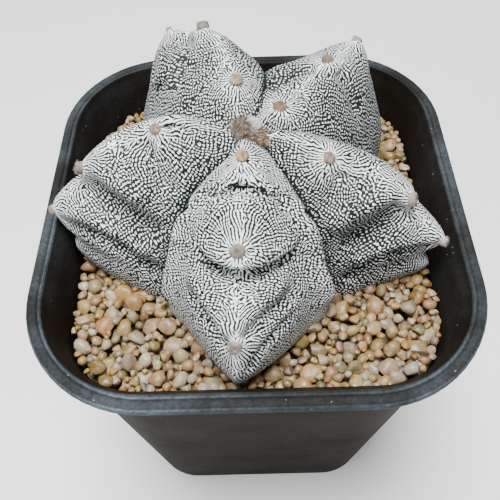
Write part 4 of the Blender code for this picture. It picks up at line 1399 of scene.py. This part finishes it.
@dataclass
class Areoles:
    """Felt pads with short hairs along the ridges."""

    radius: float = 1.7
    height: float = 1.15
    hairs: int = 110
    hair_joints: int = 3
    hair_width: float = .035
    hair_curl: float = .35
    hair_lengths: tuple = (.25, .75)
    hair_shades: tuple = (.6, 1.5)
    wobble: float = .16
    dimple: tuple = (.30, .34)
    raised: float = 1.25
    seed: int = 21
    hair_seed: int = 9
    tones: dict = field(default_factory=lambda: {
        Rib.FRONT: (FeltTone.TAN, FeltTone.BEIGE, FeltTone.BEIGE),
        Rib.RIGHT: (FeltTone.SAND, FeltTone.ROSE, FeltTone.PALE),
        Rib.FAR_RIGHT: (FeltTone.RUST, FeltTone.BROWN, FeltTone.BEIGE, FeltTone.PALE),
        Rib.FAR_LEFT: (FeltTone.YELLOW, FeltTone.GREY, FeltTone.BEIGE, FeltTone.PALE),
        Rib.LEFT: (FeltTone.PINK, FeltTone.GREY, FeltTone.PALE)})
    sizes: dict = field(default_factory=lambda: {
        Rib.FRONT: (.86, .95, .86), Rib.RIGHT: (.82, 1.0, .74),
        Rib.FAR_RIGHT: (.98, .92, .82, .8), Rib.FAR_LEFT: (.98, .98, .50, .8),
        Rib.LEFT: (.80, .94, .66)})

    def pad(self) -> bpy.types.Object:
        """Model one pad: a ball pressed flat, which build dimples in the middle."""
        deselect_all()
        bpy.ops.mesh.primitive_uv_sphere_add(segments=20, ring_count=14, radius=1.0)
        obj = bpy.context.object
        bpy.ops.object.mode_set(mode="EDIT")
        bpy.ops.mesh.select_all(action="SELECT")
        bpy.ops.transform.resize(value=(1.0, .92, .62), center_override=(0, 0, 0))
        bpy.ops.object.mode_set(mode="OBJECT")
        bpy.ops.object.transform_apply(location=True, rotation=True, scale=True)
        return obj

    @staticmethod
    def seated(skin: np.ndarray, spot: Vector, out: Vector) -> np.ndarray:
        """Lift an areole's place to the skin where the relief stands over it.

        Args:
            skin: The rib's points.
            spot: The areole's place on the ridge.
            out: Its outward direction.

        Returns:
            The place on the skin.
        """
        n = np.array(out)
        away = skin - np.array(spot)
        rise = away @ n
        under = (np.linalg.norm(away - rise[:, None] * n, axis=1) < 1.0) & (abs(rise) < 3)
        lift = float(rise[under].mean()) if under.any() else 0.0
        return np.array(spot + out * max(0.0, lift))

    def build(self, plant: CactusPlant) -> list[bpy.types.Object]:
        """Set the pads and their hairs on the plant.

        Args:
            plant: The plant.

        Returns:
            The pads as one piece and the hairs as another.
        """
        model = self.pad()
        shape = points_of(model)
        faces = [tuple(f.vertices) for f in model.data.polygons]
        triangles, quads = ([f for f in faces if len(f) == corners] for corners in (3, 4))
        off_middle = np.hypot(shape[:, 0], shape[:, 1])
        depth, width = self.dimple
        dimple = depth * hill(off_middle, 0, width) * (shape[:, 2] > 0)
        rim = np.clip(off_middle, 0, 1)[:, None]
        chance = np.random.default_rng(self.seed)
        maker = HairMaker(self.hair_seed)
        points, tints, tri_all, quad_all, hair, hair_tint = [], [], [], [], [], []
        base = 0
        for rib in Rib:
            skin = plant.skin(rib)[0].reshape(-1, 3)
            for (spot, out), tone, scale in zip(plant.areole_spots(rib), self.tones[rib],
                                                self.sizes[rib]):
                n = np.array(out)
                middle = self.seated(skin, spot, out)
                side, other = (axis[0] for axis in turned_to(n[None]))
                size = self.radius * scale
                local = shape * (1 + self.wobble * lumps(shape, 2.2, base))[:, None]
                local[:, 2] -= dimple
                high = tone in (FeltTone.GREY, FeltTone.BROWN)
                stand = self.height * (self.raised if high else 1.0)
                points.append(middle + local[:, :1] * side * size + local[:, 1:2] * other * size
                              + local[:, 2:] * n * stand * 1.5 + n * .1)
                colour = np.array(tone.value)
                tints.append(colour * (.50 + .65 * rim))
                tri_all += [tuple(i + base for i in f) for f in triangles]
                quad_all += [tuple(i + base for i in f) for f in quads]
                base += len(shape)
                angle = chance.uniform(0, 2 * math.pi, self.hairs)
                reach = np.sqrt(chance.uniform(.02, 1, self.hairs)) * size * .95
                lean = side * np.cos(angle)[:, None] + other * np.sin(angle)[:, None]
                lift = stand * .9 * np.sqrt(np.clip(1 - (reach / size / 1.05) ** 2, 0, 1))
                root = middle + lean * reach[:, None] + n * lift[:, None] * .85
                way = lean * (reach / size)[:, None] * 1.3 + n * .8
                lengths = chance.uniform(*self.hair_lengths, self.hairs)
                hair.append(maker.lay(root, way, lengths, self.hair_width, self.hair_curl,
                                      self.hair_joints))
                shade = colour * chance.uniform(*self.hair_shades, (self.hairs, 1))
                hair_tint.append(np.repeat(shade, maker.points_each(self.hair_joints), axis=0))
        bpy.data.objects.remove(model, do_unlink=True)
        pads = mesh_object("areole_pads", np.concatenate(points) * MM,
                           [np.array(quad_all), np.array(tri_all)])
        store(pads, "tint", np.clip(np.concatenate(tints), 0, 1))
        hairs = joined_hairs("areole_hairs", hair)
        store(hairs, "tint", np.clip(np.concatenate(hair_tint), 0, 1))
        return [pads, hairs]

    def dress(self, pieces: list[bpy.types.Object]) -> None:
        """Give the pads their felt and the hairs their colour."""
        for piece, material in zip(pieces, (Felt().make(), FineHair("areole_hair").make())):
            piece.data.materials.append(material)
            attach(piece, "root")


def joined_hairs(name: str, groups: list) -> bpy.types.Object:
    """Join groups of hairs into one piece.

    Args:
        name: The piece's name.
        groups: Points, four-cornered faces and triangles of each group.

    Returns:
        The piece.
    """
    points, quads, tris, base = [], [], [], 0
    for p, q, t in groups:
        points.append(p)
        quads.append(q + base)
        tris.append(t + base)
        base += len(p)
    return mesh_object(name, np.concatenate(points) * MM,
                       [np.concatenate(quads), np.concatenate(tris)])


@dataclass
class CrownWool:
    """The tuft of grey-brown wool in the crown, white on one side."""

    hairs: int = 1300
    hair_joints: int = 4
    hair_width: float = .075
    hair_curl: float = .16
    hair_lengths: tuple = (1.0, 2.2)
    pale_share: float = .28
    white_way: tuple = (.62, .22, .55)
    combs: tuple = ((.75, .50, .35), (.80, -.45, .15))
    browns: tuple = ((.17, .135, .10), (.30, .23, .17))
    white: Colour = (.86, .86, .82)
    core_brown: Colour = (.07, .055, .04)
    core_white: Colour = (.66, .66, .60)
    seed: int = 31
    hair_seed: int = 17
    tufts: tuple = ((0.3, 0.8, 20.3, 3.1, 2.6, 1.0), (3.3, -1.5, 20.3, 2.0, 1.7, .45))

    def build(self, plant: CactusPlant) -> list[bpy.types.Object]:
        """Make the matted core and the hairs over it.

        Args:
            plant: The plant that they grow from.

        Returns:
            The core and the hairs.
        """
        chance = np.random.default_rng(self.seed)
        maker = HairMaker(self.hair_seed)
        shape, faces = ball(4)
        points, tints, parts, hair, hair_tint = [], [], [], [], []
        for number, (x, y, z, wide, tall, share) in enumerate(self.tufts):
            middle = plant.origin + np.array((x, y, z))
            half = np.array((wide, wide * .9, tall))
            bump = np.array([noise.fractal(Vector(p * 1.9) + Vector((number * 5, 0, 0)), 1, 2, 4)
                             for p in shape])
            points.append(middle + shape * half * (1 + .22 * bump)[:, None])
            white = np.clip((shape[:, :1] - .25) * 2, 0, 1) * (number == 0)
            tints.append(np.array(self.core_brown) * (1 - white)
                         + np.array(self.core_white) * white)
            parts.append(faces + number * len(shape))
            count = int(self.hairs * share)
            way = unit(chance.normal(0, 1, (count, 3)) * np.array((1, 1, .8))
                       + np.array((0, 0, .55)))
            root = middle + way * half * .88
            comb = np.array(self.combs[number])
            flow = comb - way * (way @ comb)[:, None]
            bent = way * .36 + flow + chance.normal(0, .12, (count, 3))
            lengths = chance.uniform(*self.hair_lengths, count)
            hair.append(maker.lay(root, bent, lengths, self.hair_width, self.hair_curl,
                                  self.hair_joints))
            white = np.clip((way @ np.array(self.white_way) - .50) * 6, 0, 1)[:, None]
            white = white * (number == 0)
            shade = np.array(self.browns[number]) * (1 - white) + np.array(self.white) * white
            pale = chance.random((count, 1)) < self.pale_share
            shade = shade * np.where(pale | (white > .5), 1 + 1.9 * (1 - white),
                                     chance.uniform(.2, 1.0, (count, 1)))
            hair_tint.append(np.repeat(shade, maker.points_each(self.hair_joints), axis=0))
        core = mesh_object("crown_felt", np.concatenate(points) * MM, [np.concatenate(parts)])
        store(core, "tint", np.clip(np.concatenate(tints), 0, 1))
        hairs = joined_hairs("crown_hairs", hair)
        store(hairs, "tint", np.clip(np.concatenate(hair_tint), 0, 1))
        return [core, hairs]

    def dress(self, pieces: list[bpy.types.Object]) -> None:
        """Give the wool its colours and its place in the frame."""
        for piece, material in zip(pieces, (Felt("crown_felt", 1800).make(),
                                            FineHair("crown_hair").make())):
            piece.data.materials.append(material)
            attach(piece, "root")
            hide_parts("crown_wool")


# The gravel

class Quartz(Enum):
    """Kinds of pebble: share, depth of light in it, gloss and its colours."""

    TAN = (.43, .46, .38, ((.225, .130, .046), (.265, .158, .060), (.18, .105, .040)))
    HONEY = (.21, .52, .32, ((.29, .165, .045), (.31, .195, .068)))
    PEACH = (.06, .45, .40, ((.25, .152, .072), (.225, .135, .060)))
    MILKY = (.13, .62, .34, ((.31, .265, .185), (.39, .355, .28)))
    GREY = (.15, .50, .34, ((.20, .165, .105), (.25, .215, .150)))
    DARK = (.02, .15, .45, ((.04, .037, .033), (.08, .065, .05)))


@dataclass
class GravelBed:
    """Quartz pebbles that lie on a bed of grit."""

    top: float = 98.5
    bottom: float = 90.5
    smallest: float = 1.2
    largest: float = 2.65
    count: int = 3600
    shapes: int = 20
    cell: float = 0.3
    filler: tuple = (.80, 1.30)
    fillers_from: float = .55
    loose_first: int = 200
    first_tries: int = 5
    tries: int = 20
    overlap: float = .50
    ground_depth: float = 3.1
    grit_depth: float = 3.4
    heap: float = 1.3
    lean: float = .30
    clearance: float = .9
    narrow: tuple = (.70, 1.0)
    flat: tuple = (.60, .90)
    size_power: float = 1.3
    spread: float = .80
    tint_range: tuple = (.50, .88)
    tint_noise: float = .018
    plant_level: float = .955
    shape_seed: int = 41
    fall_seed: int = 61
    tint_seed: int = 71

    def pebble_shapes(self) -> tuple[list[np.ndarray], np.ndarray]:
        """Model the pebbles that the bed is made of.

        Returns:
            The points of each, and the faces that they share.
        """
        model, faces = ball(2)
        chance = np.random.default_rng(self.shape_seed)
        made = []
        for i in range(self.shapes):
            body = model * (1 + .30 * lumps(model, .9, i * 3.1))[:, None]
            for _ in range(int(chance.integers(6, 12))):
                way = unit(chance.normal(0, 1, 3))
                over = body @ way - chance.uniform(.54, .84)
                body = body - np.clip(over, 0, None)[:, None] * way
            made.append(body / np.abs(body).max(axis=0))
        return made, faces

    def settle(self, pot: SquarePot, plant: CactusPlant) -> list[tuple]:
        """Let pebbles fall one by one into the lowest of a few places.

        Args:
            pot: The pot that holds them.
            plant: The plant that stands among them.

        Returns:
            Place, half sizes and turns of each pebble.
        """
        chance = random.Random(self.fall_seed)
        wide = pot.wall_half(self.top) - pot.wall - .1
        deep = pot.wall_half(self.top) * pot.depth - pot.wall - .1
        corner = pot.wall_corner(self.top) - pot.wall
        xs = np.arange(-wide, wide, self.cell)
        ys = np.arange(-deep, deep, self.cell)
        edge = plant.footprint(self.plant_level)
        ground = np.full((len(xs), len(ys)), self.top - self.ground_depth)
        done = []
        for number in range(self.count):
            large = chance.random() ** self.size_power
            size = self.smallest + (self.largest - self.smallest) * large
            if number > self.count * self.fillers_from:
                size = chance.uniform(*self.filler)
            half = (size, size * chance.uniform(*self.narrow), size * chance.uniform(*self.flat))
            clear = size * self.clearance
            heading = chance.uniform(0, 2 * math.pi)
            cos, sin = math.cos(heading), math.sin(heading)
            best = None
            for _ in range(self.tries if number > self.loose_first else self.first_tries):
                x = chance.uniform(-wide + clear, wide - clear)
                y = chance.uniform(-deep + clear, deep - clear)
                cx, cy = abs(x) - (wide - corner), abs(y) - (deep - corner)
                if cx > 0 and cy > 0 and math.hypot(cx, cy) > corner - clear:
                    continue
                if self.under(x, y, edge):
                    continue
                i, j = int((x + wide) / self.cell), int((y + deep) / self.cell)
                k = int(size / self.cell) + 1
                i0, i1, j0, j1 = max(0, i - k), i + k + 1, max(0, j - k), j + k + 1
                dx, dy = xs[i0:i1, None] - x, ys[None, j0:j1] - y
                rr = (((dx * cos + dy * sin) / half[0]) ** 2
                      + ((dy * cos - dx * sin) / half[1]) ** 2) / self.spread
                dome = half[2] * np.sqrt(np.clip(1 - rr, 0, None))
                rest = (ground[i0:i1, j0:j1] + dome)[rr < 1].max() - half[2] * self.overlap
                if best is None or rest < best[0]:
                    best = (rest, x, y, i0, i1, j0, j1, rr, dome)
            if best is None or best[0] > self.top + self.heap:
                continue
            rest, x, y, i0, i1, j0, j1, rr, dome = best
            patch = ground[i0:i1, j0:j1]
            ground[i0:i1, j0:j1] = np.where(rr < 1, np.maximum(patch, rest + dome), patch)
            tilt = (chance.gauss(0, self.lean), chance.gauss(0, self.lean), heading)
            done.append(((x, y, rest), half, tilt))
        return done

    @staticmethod
    def under(x: float, y: float, edge: np.ndarray) -> bool:
        """Whether a place lies inside an outline."""
        a, b = edge, np.roll(edge, -1, axis=0)
        crosses = (a[:, 1] > y) != (b[:, 1] > y)
        with np.errstate(divide="ignore", invalid="ignore"):
            reach = a[:, 0] + (b[:, 0] - a[:, 0]) * (y - a[:, 1]) / (b[:, 1] - a[:, 1])
        return bool((crosses & (x < reach)).sum() % 2)

    def build(self, pot: SquarePot, plant: CactusPlant) -> dict[str, bpy.types.Object]:
        """Make the grit and the pebbles.

        Args:
            pot: The pot that holds them.
            plant: The plant that stands among them.

        Returns:
            The grit, and a piece for each kind of quartz, by name.
        """
        shapes, faces = self.pebble_shapes()
        chance = np.random.default_rng(self.tint_seed)
        kinds = list(Quartz)
        shares = np.array([kind.value[0] for kind in kinds])
        gathered = {kind: ([], []) for kind in kinds}
        for place, half, tilt in self.settle(pot, plant):
            kind = kinds[int(chance.choice(len(kinds), p=shares / shares.sum()))]
            x, y, z = (Matrix.Rotation(angle, 3, axis) for angle, axis in zip(tilt, "XYZ"))
            turn = z @ y @ x
            body = shapes[int(chance.integers(self.shapes))] * np.array(half)
            gathered[kind][0].append(body @ np.array(turn).T + np.array(place))
            colours = kind.value[3]
            colour = np.array(colours[int(chance.integers(len(colours)))])
            colour = colour * chance.uniform(*self.tint_range)
            colour = colour + chance.uniform(-self.tint_noise, self.tint_noise, 3)
            gathered[kind][1].append(np.tile(colour, (len(body), 1)))
        pieces = {"grit_with_painted_shade": self.grit(pot)}
        for kind, (bodies, tints) in gathered.items():
            size = len(bodies[0])
            points = np.concatenate(bodies) * MM
            whole = (faces[None] + (np.arange(len(bodies)) * size)[:, None, None]).reshape(-1, 3)
            piece = mesh_object("pebbles_" + kind.name.lower(), points, [whole])
            piece.data.set_sharp_from_angle(angle=math.radians(48))
            store(piece, "tint", np.clip(np.concatenate(tints), 0, 1))
            pieces[kind.name] = piece
        return pieces

    def grit(self, pot: SquarePot) -> bpy.types.Object:
        """Model the grit under the pebbles."""
        low, high = self.bottom, self.top - self.grit_depth
        inset = pot.wall + .3
        base = pot.outline(pot.wall_half(low) - inset, pot.wall_corner(low) - inset, low)
        base.name = base.data.name = "grit_with_painted_shade"
        pot.cap(base, 0, len(base.data.vertices))
        bpy.ops.object.mode_set(mode="EDIT")
        bpy.ops.mesh.select_all(action="SELECT")
        rise = (0, 0, (high - low) * MM)
        bpy.ops.mesh.extrude_region_move(TRANSFORM_OT_translate={"value": rise})
        grow = (pot.wall_half(high) - inset) / (pot.wall_half(low) - inset)
        bpy.ops.transform.resize(value=(grow, grow, 1.0), center_override=(0, 0, high * MM))
        bpy.ops.mesh.select_all(action="SELECT")
        bpy.ops.mesh.normals_make_consistent(inside=False)
        bpy.ops.object.mode_set(mode="OBJECT")
        return base

    def dress(self, pieces: dict[str, bpy.types.Object]) -> None:
        """Give the grit and each kind of pebble its finish."""
        for name, piece in pieces.items():
            if name == "grit_with_painted_shade":
                finish = GritWithPaintedShade()
            else:
                _, depth, gloss, _ = Quartz[name].value
                finish = WornQuartz("quartz_" + name.lower(), depth, gloss)
            piece.data.materials.clear()
            piece.data.materials.append(finish.make())
            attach(piece, "root")
            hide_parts("gravel")


# Camera, floor and light

@dataclass
class PhotoCamera:
    """The camera at the photograph's place."""

    place: tuple = (-0.12, -89.83, 221.8)
    lens: float = 42.18
    elevation: float = 56.13
    yaw: float = 0.70
    roll: float = -2.10
    sensor: float = 36.0
    clip_start: float = 0.01

    def build(self) -> bpy.types.Object:
        """Set up the camera and make it the scene's own."""
        e, y, r = (math.radians(a) for a in (self.elevation, self.yaw, self.roll))
        back = Vector((math.sin(y) * math.cos(e), -math.cos(y) * math.cos(e), math.sin(e)))
        right = Vector((math.cos(y), math.sin(y), 0))
        up = back.cross(right)
        side = right * math.cos(r) + up * math.sin(r)
        top = up * math.cos(r) - right * math.sin(r)
        data = bpy.data.cameras.new("photo_camera")
        data.lens, data.sensor_width = self.lens, self.sensor
        data.clip_start = self.clip_start
        obj = bpy.data.objects.new("photo_camera", data)
        turn = Matrix((side, top, back)).transposed().to_4x4()
        obj.matrix_world = Matrix.Translation(Vector(self.place) * MM) @ turn
        bpy.context.scene.collection.objects.link(obj)
        bpy.context.scene.camera = obj
        return obj


@dataclass
class Studio:
    """A pale floor under soft light."""

    lights: tuple = (
        ("key", (-0.06, 0.0, 0.85), 0.40, 20.5, (1.0, 1.0, 1.0)),
        ("fill", (0.45, -0.40, 0.45), 0.60, 1.5, (1.0, .99, .97)),
        ("front", (-0.35, -0.50, 0.45), 0.60, 2.8, (.97, .99, 1.0)))
    sky: Colour = (0.92, 0.95, 1.0)
    sky_strength: float = 0.10
    aim: tuple = (0, 0, .1)

    def build(self) -> bpy.types.Object:
        """Lay the floor and hang the lights.

        Returns:
            The floor.
        """
        deselect_all()
        bpy.ops.mesh.primitive_plane_add(size=6.0, location=(0, 0, 0))
        floor = bpy.context.object
        floor.name = floor.data.name = "floor"
        floor.data.materials.append(PaleFloor().make())
        for name, place, size, power, colour in self.lights:
            data = bpy.data.lights.new(name, "AREA")
            data.shape, data.size, data.energy, data.color = "DISK", size, power, colour
            lamp = bpy.data.objects.new(name, data)
            lamp.location = place
            way = Vector(self.aim) - Vector(place)
            lamp.rotation_euler = way.to_track_quat("-Z", "Y").to_euler()
            bpy.context.scene.collection.objects.link(lamp)
        world = bpy.data.worlds.new("soft_sky")
        world.use_nodes = True
        ground = world.node_tree.nodes["Background"]
        ground.inputs["Color"].default_value = (*self.sky, 1.0)
        ground.inputs["Strength"].default_value = self.sky_strength
        bpy.context.scene.world = world
        return floor


def report(*pieces: bpy.types.Object) -> None:
    """Log the name and size of each piece."""
    for piece in pieces:
        faces = sum(len(f.vertices) - 2 for f in piece.data.polygons)
        LOG.info("%s: %d triangles", piece.name, faces)


def main() -> None:
    """Build the potted cactus, piece by piece."""
    logging.basicConfig(level=logging.INFO, format="%(name)s %(message)s")
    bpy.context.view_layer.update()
    PhotoCamera().build()
    Studio().build()
    pot = SquarePot()
    shell = pot.build()
    pot.dress(shell, MouldedPlastic())
    report(shell)
    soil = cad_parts["potting_mix"]
    soil.data.materials.clear()
    soil.data.materials.append(DampSoil().make())
    plant = CactusPlant()
    skin = FleckedSkin().make()
    for rib in Rib:
        piece = plant.build_rib(rib)
        plant.dress_rib(piece, skin)
        report(piece)
    for builder in (Areoles(), CrownWool()):
        pieces = builder.build(plant)
        builder.dress(pieces)
        report(*pieces)
    gravel = GravelBed()
    pieces = gravel.build(pot, plant)
    gravel.dress(pieces)
    report(*pieces.values())


if __name__ == "__main__":
    main()
